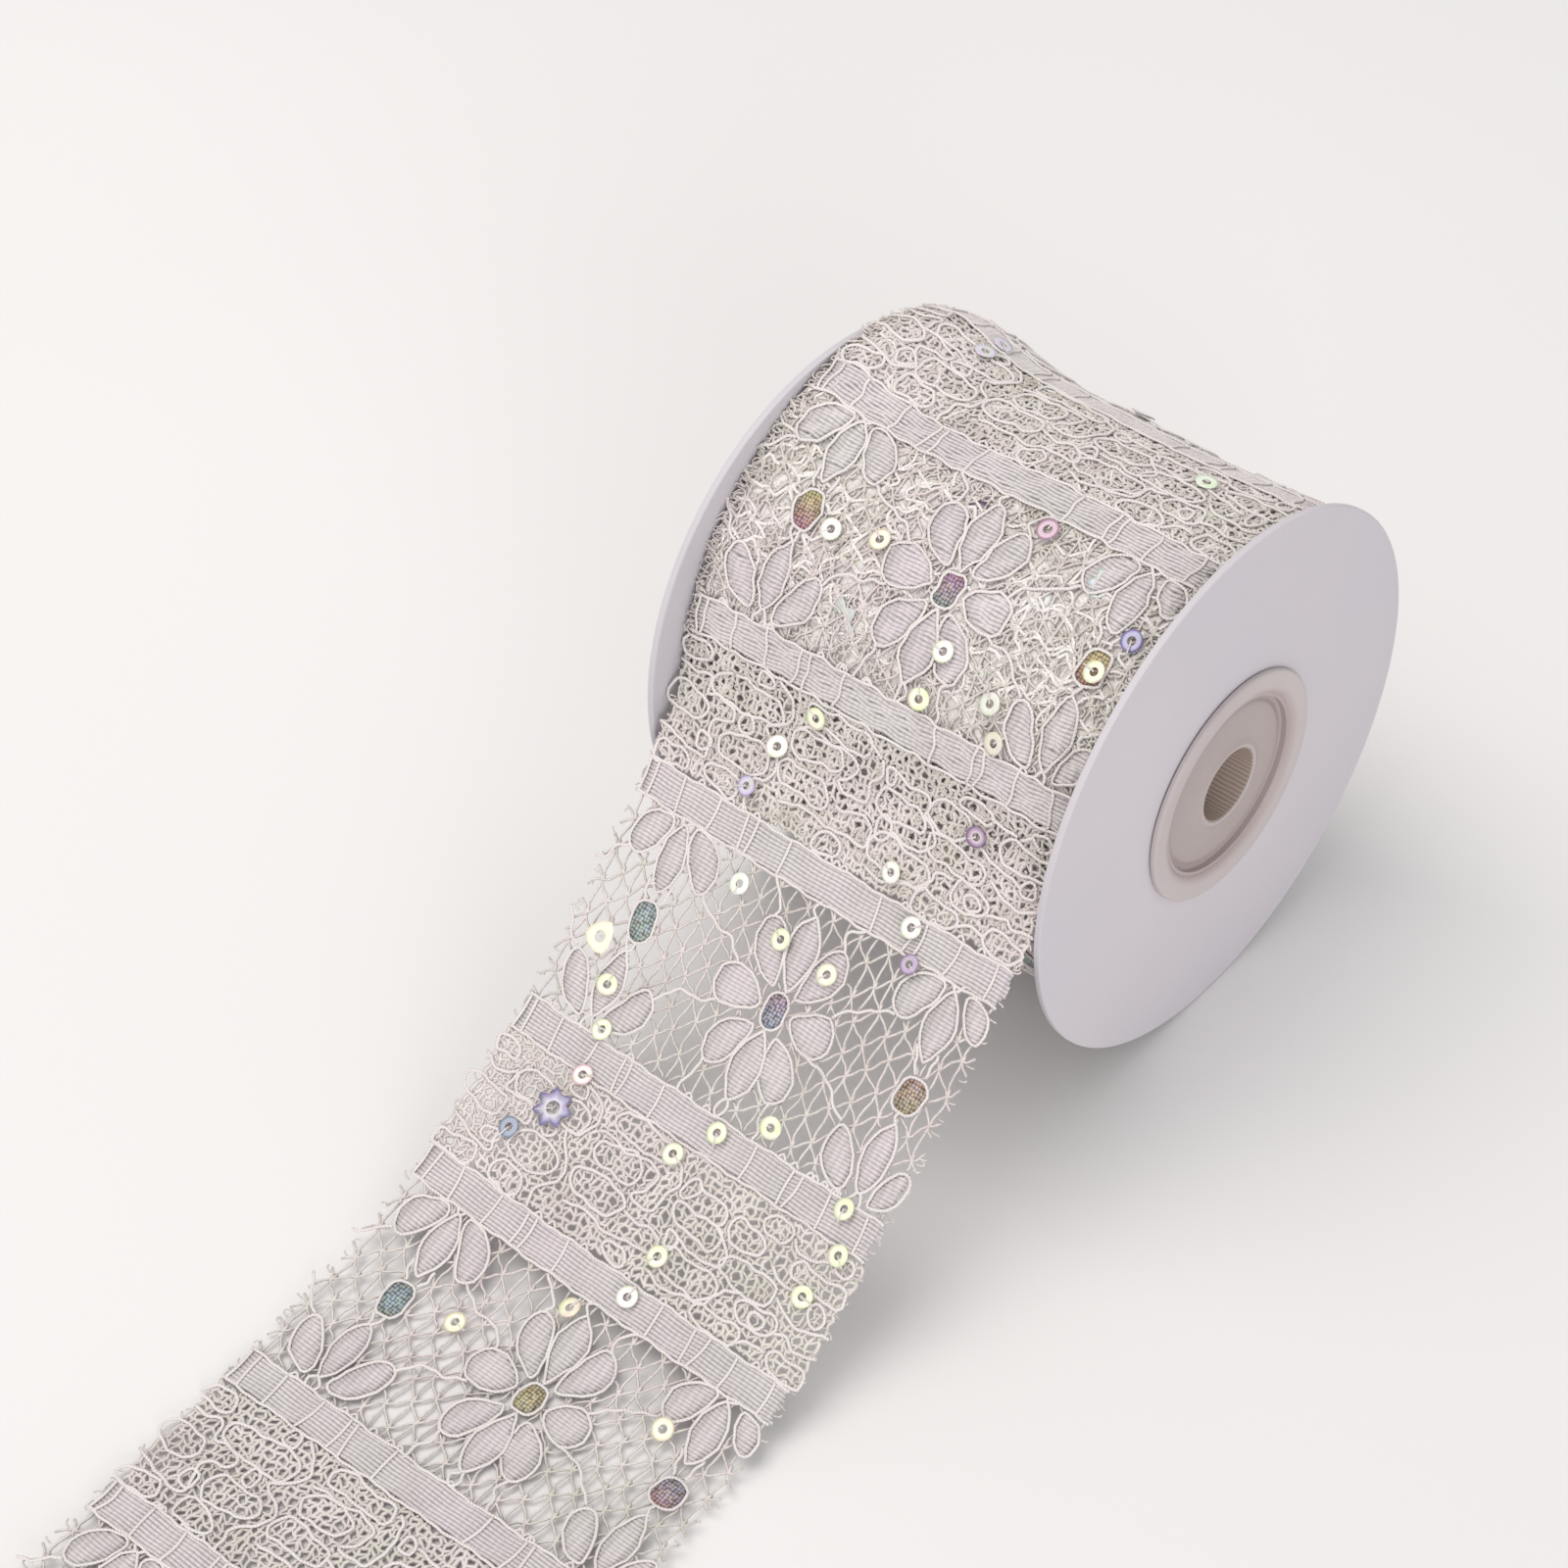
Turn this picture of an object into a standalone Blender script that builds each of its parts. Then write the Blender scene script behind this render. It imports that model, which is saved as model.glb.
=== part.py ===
"""Sequin trim: a corded lace ribbon wound on a card spool, with its loose end laid out in front.

Metres, +Z up. The spool's axis runs along X and the loose end runs towards -Y.
Angles round the spool start at +Y (the back) and rise over the top (90) to the front (180).
The origin is the middle of the footprint, on the surface that the spool stands on.
"""
import math

import bmesh
import bpy
from mathutils import Vector

MM = 0.001

# Lace ribbon
LACE_WIDTH = 60.0 * MM
LACE_SHEET = 1.0 * MM             # thickness of the loose end's solid
GAP = 0.3 * MM                    # air kept between pieces that touch

# Spool
FLANGE_RADIUS = 37.6 * MM
FLANGE_THICKNESS = 1.0 * MM
FLANGE_SPACING = 62.0 * MM        # between the flanges' inner faces
FLANGE_HOLE_RADIUS = 12.6 * MM
FLAT_SPOT_DEPTH = 0.2 * MM        # the rims stand on small flats
CORE_BORE_RADIUS = 5.1 * MM
CORE_RADIUS = 13.5 * MM
CAP_RADIUS = 16.6 * MM
CAP_SHEET = 0.8 * MM
CAP_DISH_RADIUS = 12.3 * MM
CAP_HOLE_RADIUS = 5.05 * MM
CAP_LIP_WIDTH = 0.5 * MM

AXIS_HEIGHT = FLANGE_RADIUS - FLAT_SPOT_DEPTH
FLANGE_INNER_X = FLANGE_SPACING / 2
FLANGE_OUTER_X = FLANGE_INNER_X + FLANGE_THICKNESS

# Wound roll: its radius swells over the top and back, where the turns lie slack
ROLL_RADIUS = 33.7 * MM
ROLL_SWELL = 2.7 * MM
SWELL_CENTRE = 50.0
SWELL_HALF_ANGLE = 105.0
ROLL_BORE_RADIUS = CORE_RADIUS + GAP
BULGE_HEIGHT = 2.0 * MM           # a puffed stretch beside the left flange
BULGE_CENTRE = 65.0
BULGE_ANGLE = 26.0
BULGE_X = -24.0 * MM
BULGE_WIDTH = 7.0 * MM
RIPPLE = 0.25 * MM
STEP_ANGLE = 150.0                # the outer turn ends here and goes on as the loose end
STEP_FADE_ANGLE = 200.0

# Loose end: profile in the YZ plane, from the roll down to the surface
TAKE_OFF_ANGLE = 162.0
TAIL_PULL = 17.7 * MM             # how far the take-off tangent carries
LANDING_Y = -104.0 * MM
LANDING_PULL = 18.0 * MM
TAIL_END_Y = -163.0 * MM
TAIL_HEADING = 0.071              # sideways drift towards +X for each unit of reach
TAIL_START_X = -0.2 * MM
EDGE_LIFT = 1.3 * MM

SEGMENTS = 72


def angle_gap(a, b):
    """Smallest difference between two angles in degrees."""
    return (a - b + 180.0) % 360.0 - 180.0


def smooth(t):
    """Ease from 0 to 1."""
    t = min(max(t, 0.0), 1.0)
    return t * t * (3.0 - 2.0 * t)


def turn_radius(angle):
    """Outer radius of the last turn at an angle, without the puffed stretch."""
    share = min(abs(angle_gap(angle, SWELL_CENTRE)) / SWELL_HALF_ANGLE, 1.0)
    return ROLL_RADIUS + ROLL_SWELL * (0.5 + 0.5 * math.cos(math.pi * share))


def roll_radius(angle, x):
    """Outer radius of the roll's solid, one sheet lower past the step where the loose end lies."""
    past_step = (angle - STEP_ANGLE) % 360.0
    drop = (LACE_SHEET + GAP) * (1.0 - smooth(past_step / STEP_FADE_ANGLE))
    if past_step < 0.01:
        drop = 0.0
    around = angle_gap(angle, BULGE_CENTRE) / BULGE_ANGLE
    across = (x - BULGE_X) / BULGE_WIDTH
    bulge = BULGE_HEIGHT * math.exp(-0.5 * (around * around + across * across))
    wave = RIPPLE * math.sin(math.radians(5.0 * angle)) * math.sin(x / (7.0 * MM))
    calm = smooth(abs(angle_gap(angle, TAKE_OFF_ANGLE)) / 30.0)
    return turn_radius(angle) - drop + bulge + wave * calm


def clear_scene():
    """Remove whatever the scene holds."""
    for item in list(bpy.data.objects):
        bpy.data.objects.remove(item, do_unlink=True)
    for group in list(bpy.data.collections):
        bpy.data.collections.remove(group)


def make_collection(name):
    """A collection under the scene."""
    group = bpy.data.collections.new(name)
    bpy.context.scene.collection.children.link(group)
    return group


def make_material(name, colour, roughness, metallic=0.0):
    """A plain material with a linear colour."""
    material = bpy.data.materials.new(name)
    material.use_nodes = True
    shader = material.node_tree.nodes["Principled BSDF"]
    shader.inputs["Base Color"].default_value = (*colour, 1.0)
    shader.inputs["Roughness"].default_value = roughness
    shader.inputs["Metallic"].default_value = metallic
    return material


def add_object(name, mesh, group, material=None):
    """Put a mesh in the scene as a named object."""
    item = bpy.data.objects.new(name, mesh)
    group.objects.link(item)
    if material is not None:
        mesh.materials.append(material)
    return item


def mesh_from(bm, name):
    """Turn a bmesh into mesh data with its faces pointing out."""
    bmesh.ops.remove_doubles(bm, verts=bm.verts, dist=0.00001)
    bmesh.ops.recalc_face_normals(bm, faces=bm.faces)
    mesh = bpy.data.meshes.new(name)
    bm.to_mesh(mesh)
    bm.free()
    mesh.shade_smooth()
    mesh.set_sharp_from_angle(angle=math.radians(35.0))
    return mesh


def turned_ring(name, profile, segments=SEGMENTS):
    """Spin a closed outline of (x, radius) points round the X axis.

    The outline starts at the back of the spool and is swept over the top.
    """
    bm = bmesh.new()
    corners = [bm.verts.new((x, radius, 0.0)) for x, radius in profile]
    count = len(corners)
    outline = [bm.edges.new((corners[i], corners[(i + 1) % count])) for i in range(count)]
    bmesh.ops.spin(bm, geom=corners + outline, cent=(0, 0, 0), axis=(1, 0, 0),
                   angle=2 * math.pi, steps=segments, use_merge=False, use_duplicate=False)
    return mesh_from(bm, name)


def flange_profile(side):
    """Card disc with slightly rounded rim edges."""
    edge = 0.25 * MM
    inner = FLANGE_INNER_X
    outer = FLANGE_OUTER_X
    points = [
        (inner, FLANGE_HOLE_RADIUS), (inner, FLANGE_RADIUS - edge), (inner + edge, FLANGE_RADIUS),
        (outer - edge, FLANGE_RADIUS), (outer, FLANGE_RADIUS - edge), (outer, FLANGE_HOLE_RADIUS),
    ]
    return [(side * x, radius) for x, radius in points]


def cap_profile(side):
    """Moulded cap: a collar on the flange, a dish through its hole and a lip round the bore."""
    seat = FLANGE_OUTER_X + GAP
    crown = seat + CAP_SHEET
    floor_under = FLANGE_INNER_X - 0.1 * MM
    floor_top = floor_under + CAP_SHEET
    lip = CAP_HOLE_RADIUS + CAP_LIP_WIDTH
    edge = 0.35 * MM
    points = [
        (seat, CAP_RADIUS), (crown - edge, CAP_RADIUS), (crown, CAP_RADIUS - edge),
        (crown - 0.15 * MM, CAP_DISH_RADIUS + 1.3 * MM), (crown - 0.5 * MM, CAP_DISH_RADIUS + 0.2 * MM),
        (floor_top + 0.2 * MM, CAP_DISH_RADIUS - 0.9 * MM), (floor_top, CAP_DISH_RADIUS - 1.6 * MM),
        (floor_top + 0.3 * MM, lip + 0.5 * MM), (floor_top + 0.7 * MM, lip),
        (floor_top + 0.7 * MM, CAP_HOLE_RADIUS),
        (floor_under, CAP_HOLE_RADIUS), (floor_under, CAP_DISH_RADIUS - 0.3 * MM),
        (floor_under + 0.3 * MM, CAP_DISH_RADIUS), (seat, CAP_DISH_RADIUS),
    ]
    return [(side * x, radius) for x, radius in points]


def core_profile():
    """Wound kraft board core."""
    half = FLANGE_INNER_X - GAP - 0.1 * MM
    return [(-half, CORE_BORE_RADIUS), (-half, CORE_RADIUS), (half, CORE_RADIUS), (half, CORE_BORE_RADIUS)]


def make_roll_mesh():
    """The wound lace: one ring with its swell, its puffed stretch and the step at the last turn."""
    half = LACE_WIDTH / 2
    columns = 12
    outer = [(half - 2 * half * i / columns, ROLL_RADIUS) for i in range(columns + 1)]
    mesh = turned_ring("lace_roll", [(-half, ROLL_BORE_RADIUS)] + outer[::-1] + [(half, ROLL_BORE_RADIUS)])
    step_width = 360.0 / SEGMENTS
    for vertex in mesh.vertices:
        x, y, z = vertex.co
        if math.hypot(y, z) < ROLL_BORE_RADIUS + GAP:
            continue
        angle = round(math.degrees(math.atan2(z, y)) / step_width) * step_width
        if abs(angle - STEP_ANGLE - step_width) < 0.01:
            angle = STEP_ANGLE + 0.6
        radius = roll_radius(angle, x)
        fray = 0.35 * MM * math.sin(math.radians(7.0 * angle + 40.0 * (1.0 if x > 0 else 3.0)))
        if abs(abs(x) - half) < GAP:
            x += fray
        turn = math.radians(angle)
        vertex.co = Vector((x, radius * math.cos(turn), radius * math.sin(turn)))
    return mesh


def bezier(points, t):
    """Point of a cubic curve."""
    a, b, c, d = points
    s = 1.0 - t
    return a * (s * s * s) + b * (3 * s * s * t) + c * (3 * s * t * t) + d * (t * t * t)


def tail_profile():
    """Middle line of the loose end as YZ points about the spool's axis, from roll to cut end."""
    middle = ROLL_RADIUS - LACE_SHEET / 2
    line = []
    for step in range(5):
        turn = math.radians(STEP_ANGLE + 1.15 + (TAKE_OFF_ANGLE - STEP_ANGLE - 1.15) * step / 4)
        line.append(Vector((middle * math.cos(turn), middle * math.sin(turn))))
    turn = math.radians(TAKE_OFF_ANGLE)
    tangent = Vector((-math.sin(turn), math.cos(turn)))
    floor = -AXIS_HEIGHT + LACE_SHEET / 2
    landing = Vector((LANDING_Y, floor))
    handles = [line[-1], line[-1] + tangent * TAIL_PULL, landing + Vector((LANDING_PULL, 0.0)), landing]
    fall_steps = 26
    line += [bezier(handles, step / fall_steps) for step in range(1, fall_steps + 1)]
    flat_steps = 16
    reach = TAIL_END_Y - LANDING_Y
    line += [landing + Vector((reach * step / flat_steps, 0.0)) for step in range(1, flat_steps + 1)]
    return line


def make_tail_mesh():
    """A flat grid bent along the profile, drifting a little sideways, with lifted edges."""
    line = tail_profile()
    across = 10
    bm = bmesh.new()
    bmesh.ops.create_grid(bm, x_segments=across, y_segments=len(line) - 1, size=0.5)
    for vertex in bm.verts:
        share = vertex.co.x * 2.0
        row = round((0.5 - vertex.co.y) * (len(line) - 1))
        point = line[row]
        reach = max(-point.x - ROLL_RADIUS, 0.0)
        skew = TAIL_HEADING * smooth((reach - 20.0 * MM) / (90.0 * MM))
        x = TAIL_START_X + TAIL_HEADING * reach + share * LACE_WIDTH / 2
        y = point.x + skew * share * LACE_WIDTH / 2
        lift = EDGE_LIFT * share * share * smooth(reach / (30.0 * MM))
        lift *= 0.5 + 0.5 * math.sin(reach / (11.0 * MM) + (0.0 if share > 0 else 2.4))
        vertex.co = Vector((x, y, AXIS_HEIGHT + point.y + lift))
    bmesh.ops.recalc_face_normals(bm, faces=bm.faces)
    mesh = bpy.data.meshes.new("lace_tail")
    bm.to_mesh(mesh)
    bm.free()
    mesh.shade_smooth()
    return mesh


def trim_flat_spot(item, cutters):
    """Cut the small flat that a flange stands on."""
    bpy.ops.mesh.primitive_cube_add(size=1.0)
    block = bpy.context.active_object
    block.name = item.name + "_floor_cut"
    depth = 4.0 * MM
    for vertex in block.data.vertices:
        vertex.co = Vector((vertex.co.x * 90 * MM, vertex.co.y * 30 * MM,
                            vertex.co.z * depth - AXIS_HEIGHT - depth / 2))
    for group in list(block.users_collection):
        group.objects.unlink(block)
    cutters.objects.link(block)
    block.hide_render = True
    block.display_type = "WIRE"
    cut = item.modifiers.new("flat_spot", "BOOLEAN")
    cut.operation = "DIFFERENCE"
    cut.solver = "EXACT"
    cut.object = block
    return block


def footprint(items):
    """Lowest and highest X and Y of the finished objects."""
    graph = bpy.context.evaluated_depsgraph_get()
    corners = []
    for item in items:
        shape = item.evaluated_get(graph)
        corners += [shape.matrix_world @ Vector(corner) for corner in shape.bound_box]
    xs = [corner.x for corner in corners]
    ys = [corner.y for corner in corners]
    return min(xs), max(xs), min(ys), max(ys)


def main():
    """Build the spool, the roll and the loose end, and centre them on the origin."""
    clear_scene()
    parts = make_collection("sequin_trim_on_spool")
    cutters = make_collection("cutters")
    card = make_material("flange_card", (0.58, 0.54, 0.58), 0.75)
    cap_plastic = make_material("cap_plastic", (0.52, 0.48, 0.49), 0.5)
    kraft = make_material("core_kraft", (0.25, 0.20, 0.17), 0.9)
    lace = make_material("lace_thread", (0.70, 0.64, 0.63), 0.85)

    placer = bpy.data.objects.new("spool_axis", None)
    parts.objects.link(placer)
    spool = []
    for side, word in ((-1, "left"), (1, "right")):
        flange = add_object("flange_" + word, turned_ring("flange_" + word, flange_profile(side), 96),
                            parts, card)
        spool.append(flange)
        spool.append(trim_flat_spot(flange, cutters))
        spool.append(add_object("hub_cap_" + word, turned_ring("hub_cap_" + word, cap_profile(side), 48),
                                parts, cap_plastic))
    spool.append(add_object("core_tube", turned_ring("core_tube", core_profile(), 48), parts, kraft))
    spool.append(add_object("lace_roll", make_roll_mesh(), parts, lace))

    raiser = bpy.data.objects.new("spool_height", None)
    parts.objects.link(raiser)
    raiser.parent = placer
    raiser.location.z = AXIS_HEIGHT
    for item in spool:
        item.parent = raiser

    tail = add_object("lace_tail", make_tail_mesh(), parts, lace)
    tail.parent = placer
    thicken = tail.modifiers.new("sheet", "SOLIDIFY")
    thicken.thickness = LACE_SHEET
    thicken.offset = 0.0
    thicken.use_even_offset = True

    bpy.context.view_layer.update()
    solids = [item for item in parts.objects if item.type == "MESH"]
    low_x, high_x, low_y, high_y = footprint(solids)
    placer.location = (-(low_x + high_x) / 2, -(low_y + high_y) / 2, 0.0)
    bpy.context.view_layer.update()


main()
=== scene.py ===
"""Looks of a sequin lace trim wound on a card spool, its loose end laid out on the table.

The lace is made thread by thread in flat coordinates, millimetres across (u) and along (s) the
trim, and then laid on its course: back round the roll, off its front and down to the table.
"""
from __future__ import annotations

import logging
import math
from dataclasses import dataclass, field
from enum import Enum
from typing import Callable, Iterable, Optional, Sequence

import bmesh
import bpy
import numpy as np
from mathutils import Matrix, Vector


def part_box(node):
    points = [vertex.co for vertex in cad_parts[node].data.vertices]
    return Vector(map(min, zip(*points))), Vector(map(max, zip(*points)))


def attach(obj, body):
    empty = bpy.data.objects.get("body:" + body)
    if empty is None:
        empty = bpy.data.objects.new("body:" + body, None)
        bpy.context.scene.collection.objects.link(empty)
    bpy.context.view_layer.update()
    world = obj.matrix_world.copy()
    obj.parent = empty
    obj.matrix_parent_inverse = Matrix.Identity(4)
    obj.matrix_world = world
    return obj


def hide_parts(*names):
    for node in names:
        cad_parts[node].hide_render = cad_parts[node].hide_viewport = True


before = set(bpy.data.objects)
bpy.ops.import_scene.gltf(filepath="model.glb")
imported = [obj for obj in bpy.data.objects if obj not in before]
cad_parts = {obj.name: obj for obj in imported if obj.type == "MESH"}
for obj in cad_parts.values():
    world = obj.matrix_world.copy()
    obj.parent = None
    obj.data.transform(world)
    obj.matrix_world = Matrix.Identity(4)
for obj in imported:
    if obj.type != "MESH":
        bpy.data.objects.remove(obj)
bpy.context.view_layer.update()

MM = 0.001
BODY = "root"
LOG = logging.getLogger("sequin_trim")


def linear(code: str) -> tuple[float, float, float, float]:
    """Linear colour of an sRGB hex code.

    Args:
        code: six hex digits, such as "C8C2C8".

    Returns:
        Red, green, blue and alpha as a shader socket takes them.
    """
    parts = [int(code[i:i + 2], 16) / 255 for i in (0, 2, 4)]
    red, green, blue = (c / 12.92 if c <= 0.04045 else ((c + 0.055) / 1.055) ** 2.4 for c in parts)
    return (red, green, blue, 1.0)


def smooth(t: np.ndarray) -> np.ndarray:
    """Ease from 0 to 1."""
    t = np.clip(t, 0.0, 1.0)
    return t * t * (3.0 - 2.0 * t)


def degrees_past(angle: np.ndarray, middle: float) -> np.ndarray:
    """How far angles lie past a middle one, between -180 and 180 degrees."""
    return (angle - middle + 180.0) % 360.0 - 180.0


# Finishes


Tree = bpy.types.NodeTree
Socket = bpy.types.NodeSocket


def add_node(tree: Tree, kind: str, links: Optional[dict] = None, **settings) -> bpy.types.Node:
    """Add a node, set its properties and feed its inputs.

    Args:
        tree: the material's node tree.
        kind: the node's type name.
        links: for each input's name or number, a value or the output socket that feeds it.
        settings: properties of the node itself.

    Returns:
        The new node.
    """
    node = tree.nodes.new(kind)
    for name, value in settings.items():
        setattr(node, name, value)
    for key, value in (links or {}).items():
        if isinstance(value, Socket):
            tree.links.new(value, node.inputs[key])
        else:
            node.inputs[key].default_value = value
    return node


def add_ramp(tree: Tree, factor: Socket, stops: Sequence[tuple[float, str]]) -> Socket:
    """Colour ramp between hex colours.

    Args:
        tree: the material's node tree.
        factor: the socket that drives it.
        stops: position and hex code of each stop, in order.

    Returns:
        The colour output.
    """
    node = add_node(tree, "ShaderNodeValToRGB", {0: factor})
    stripe = node.color_ramp
    while len(stripe.elements) < len(stops):
        stripe.elements.new(0.5)
    for element, (place, code) in zip(stripe.elements, stops):
        element.position = place
        element.color = linear(code)
    return node.outputs["Color"]


def multiply(tree: Tree, first: Socket, second: Socket) -> Socket:
    """Product of two colours."""
    return add_node(tree, "ShaderNodeMix", {0: 1.0, 6: first, 7: second}, data_type="RGBA",
                    blend_type="MULTIPLY").outputs[2]


def reckon(tree: Tree, operation: str, *values: object) -> Socket:
    """Outcome of an operation on numbers or sockets."""
    return add_node(tree, "ShaderNodeMath", dict(enumerate(values)), operation=operation).outputs[0]


def vector(tree: Tree, operation: str, *values: object) -> Socket:
    """Outcome of an operation on vectors or sockets."""
    return add_node(tree, "ShaderNodeVectorMath", dict(enumerate(values)), operation=operation).outputs[0]


def object_place(tree: Tree) -> Socket:
    """Place in the object's own space, in metres."""
    return add_node(tree, "ShaderNodeTexCoord").outputs["Object"]


def map_place(tree: Tree, name: str) -> Socket:
    """Place on one of the mesh's own maps."""
    return add_node(tree, "ShaderNodeUVMap", uv_map=name).outputs["UV"]


def own_tint(tree: Tree) -> Socket:
    """Colour that the mesh carries at its points."""
    return add_node(tree, "ShaderNodeVertexColor", layer_name="tint").outputs["Color"]


def cloud(tree: Tree, scale: float, detail: float) -> Socket:
    """Soft noise in the object's own space."""
    return add_node(tree, "ShaderNodeTexNoise",
                    {"Vector": object_place(tree), "Scale": scale, "Detail": detail}).outputs["Fac"]


def wave(tree: Tree, phase: Socket) -> Socket:
    """Sine of a phase, brought between 0 and 1."""
    return add_node(tree, "ShaderNodeMapRange",
                    {"Value": reckon(tree, "SINE", phase), "From Min": -1.0}).outputs[0]


def bumped(tree: Tree, height: Socket, strength: float, distance: float) -> Socket:
    """Normal that a height raises by a distance in metres."""
    return add_node(tree, "ShaderNodeBump",
                    {"Height": height, "Strength": strength, "Distance": distance}).outputs["Normal"]


@dataclass(frozen=True)
class Finish:
    """A material made of nodes: its name and the fixed numbers of its shader."""

    name: str
    roughness: float = 0.6
    sockets: tuple[tuple[str, object], ...] = ()

    def colour(self, tree: Tree) -> Socket:
        """Base colour socket, given by each finish."""
        raise NotImplementedError

    def relief(self, tree: Tree) -> Optional[Socket]:
        """Bumped normal socket, or None for a smooth finish."""
        return None

    def build(self) -> bpy.types.Material:
        """Make the material.

        Returns:
            The new material with its shader wired up.
        """
        material = bpy.data.materials.new(self.name)
        material.use_nodes = True
        tree = material.node_tree
        tree.nodes.clear()
        shader = add_node(tree, "ShaderNodeBsdfPrincipled", {"Roughness": self.roughness})
        for socket, value in self.sockets:
            shader.inputs[socket].default_value = value
        tree.links.new(self.colour(tree), shader.inputs["Base Color"])
        normal = self.relief(tree)
        if normal is not None:
            tree.links.new(normal, shader.inputs["Normal"])
        add_node(tree, "ShaderNodeOutputMaterial", {"Surface": shader.outputs[0]})
        return material


@dataclass(frozen=True)
class ThreadYarn(Finish):
    """Textured polyester yarn of the knitted net: matt and slightly fuzzy, so its tone wanders."""

    light: str = "E4DCD9"
    dark: str = "CDC5BF"
    patch_scale: float = 160.0
    fleck_scale: float = 2600.0

    def colour(self, tree: Tree) -> Socket:
        """Slow tone changes with a finer fleck of filaments, here a little rosier and there greener."""
        hue = add_ramp(tree, cloud(tree, 55.0, 1.0), [(0.35, "FFFCFD"), (0.65, "FCFEF9")])
        mixed = reckon(tree, "ADD", cloud(tree, self.patch_scale, 2.0), cloud(tree, self.fleck_scale, 1.0))
        half = reckon(tree, "MULTIPLY", mixed, 0.5)
        return multiply(tree, add_ramp(tree, half, [(0.38, self.dark), (0.6, self.light)]), hue)


@dataclass(frozen=True)
class RibYarn(ThreadYarn):
    """Flat untwisted viscose laid in rows through the motifs: silky, with a dot at each stitch."""

    stitch: float = 0.95

    def stitches(self, tree: Tree) -> Socket:
        """Wave along the row with a low every millimetre, where a net thread ties it down."""
        along = add_node(tree, "ShaderNodeSeparateXYZ", {0: map_place(tree, "thread")}).outputs["X"]
        return wave(tree, reckon(tree, "MULTIPLY", along, 2 * math.pi / self.stitch))

    def colour(self, tree: Tree) -> Socket:
        """The yarn's own tone, with painted shade in the dimple at each stitch where it is tied down."""
        # painted shade: the ramp greys the yarn where the stitch wave dips into its dimples
        return multiply(tree, super().colour(tree),
                        add_ramp(tree, self.stitches(tree), [(0.0, "F5F3F4"), (0.5, "FFFFFF")]))

    def relief(self, tree: Tree) -> Optional[Socket]:
        """Dimples at the stitches."""
        return bumped(tree, self.stitches(tree), 0.35, 0.0001)


@dataclass(frozen=True)
class CordYarn(Finish):
    """Plied outline cord, twisted from two ends: off-white, each ply shading the next."""

    light: str = "E8E1DE"
    dark: str = "D5CCC9"
    twist: float = 0.9
    plies: int = 2

    def ply(self, tree: Tree) -> Socket:
        """Wave that runs round the cord and along it as its twist does."""
        split = add_node(tree, "ShaderNodeSeparateXYZ", {0: map_place(tree, "thread")})
        along = reckon(tree, "MULTIPLY", split.outputs["X"], 1.0 / self.twist)
        both = reckon(tree, "ADD", along, split.outputs["Y"])
        return wave(tree, reckon(tree, "MULTIPLY", both, 2 * math.pi * self.plies))

    def colour(self, tree: Tree) -> Socket:
        """Light plies with a soft shadow between them and a slow drift of tone."""
        shade = reckon(tree, "MULTIPLY", self.ply(tree), 0.45)
        both = reckon(tree, "ADD", shade, cloud(tree, 220.0, 2.0))
        return add_ramp(tree, both, [(0.32, self.dark), (0.72, self.light)])

    def relief(self, tree: Tree) -> Optional[Socket]:
        """The plies stand up a few hundredths of a millimetre."""
        return bumped(tree, self.ply(tree), 0.6, 0.00008)


@dataclass(frozen=True)
class WoundLayers(Finish):
    """Lace of the inner turns seen through the net: cords, net and shaded holes run together."""

    def pattern(self, tree: Tree) -> Socket:
        """Crossing cell edges of two sizes, as nets that lie on each other."""
        place = map_place(tree, "lace")
        wobble = add_node(tree, "ShaderNodeTexNoise", {"Vector": place, "Scale": 0.35, "Detail": 2.0})
        bent = vector(tree, "MULTIPLY", wobble.outputs["Color"], (3.0, 3.0, 3.0))
        moved = vector(tree, "ADD", place, bent)
        layers = []
        for scale, near, far, top in ((0.42, 0.02, 0.16, 1.0), (1.05, 0.04, 0.28, 0.75)):
            cells = add_node(tree, "ShaderNodeTexVoronoi", {"Vector": moved, "Scale": scale},
                             feature="DISTANCE_TO_EDGE")
            edges = add_node(tree, "ShaderNodeMapRange",
                             {"Value": cells.outputs["Distance"], "From Min": near, "From Max": far,
                              "To Min": top, "To Max": 0.0})
            layers.append(edges.outputs[0])
        return reckon(tree, "MAXIMUM", *layers)

    def colour(self, tree: Tree) -> Socket:
        """Warm grey holes darkened as painted shade, a lighter net and the palest cords."""
        # painted shade: the darkest stop, D7CFCA, colours the holes between the threads
        return add_ramp(tree, self.pattern(tree), [(0.0, "D7CFCA"), (0.45, "E2DBD7"), (1.0, "ECE7E4")])

    def relief(self, tree: Tree) -> Optional[Socket]:
        """Threads stand above the holes by a quarter of a millimetre."""
        return bumped(tree, self.pattern(tree), 0.9, 0.00025)


@dataclass(frozen=True)
class SequinFoil(Finish):
    """Pearl-coated polyester film, punched: glossy, its tint shifting a little from piece to piece."""

    def colour(self, tree: Tree) -> Socket:
        """Each sequin's own tint with a faint pearl cloud over it."""
        pearl = add_ramp(tree, cloud(tree, 700.0, 1.0), [(0.35, "F8FFE8"), (0.5, "FFFFFF"), (0.68, "FFF2F8")])
        return multiply(tree, own_tint(tree), pearl)


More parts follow.
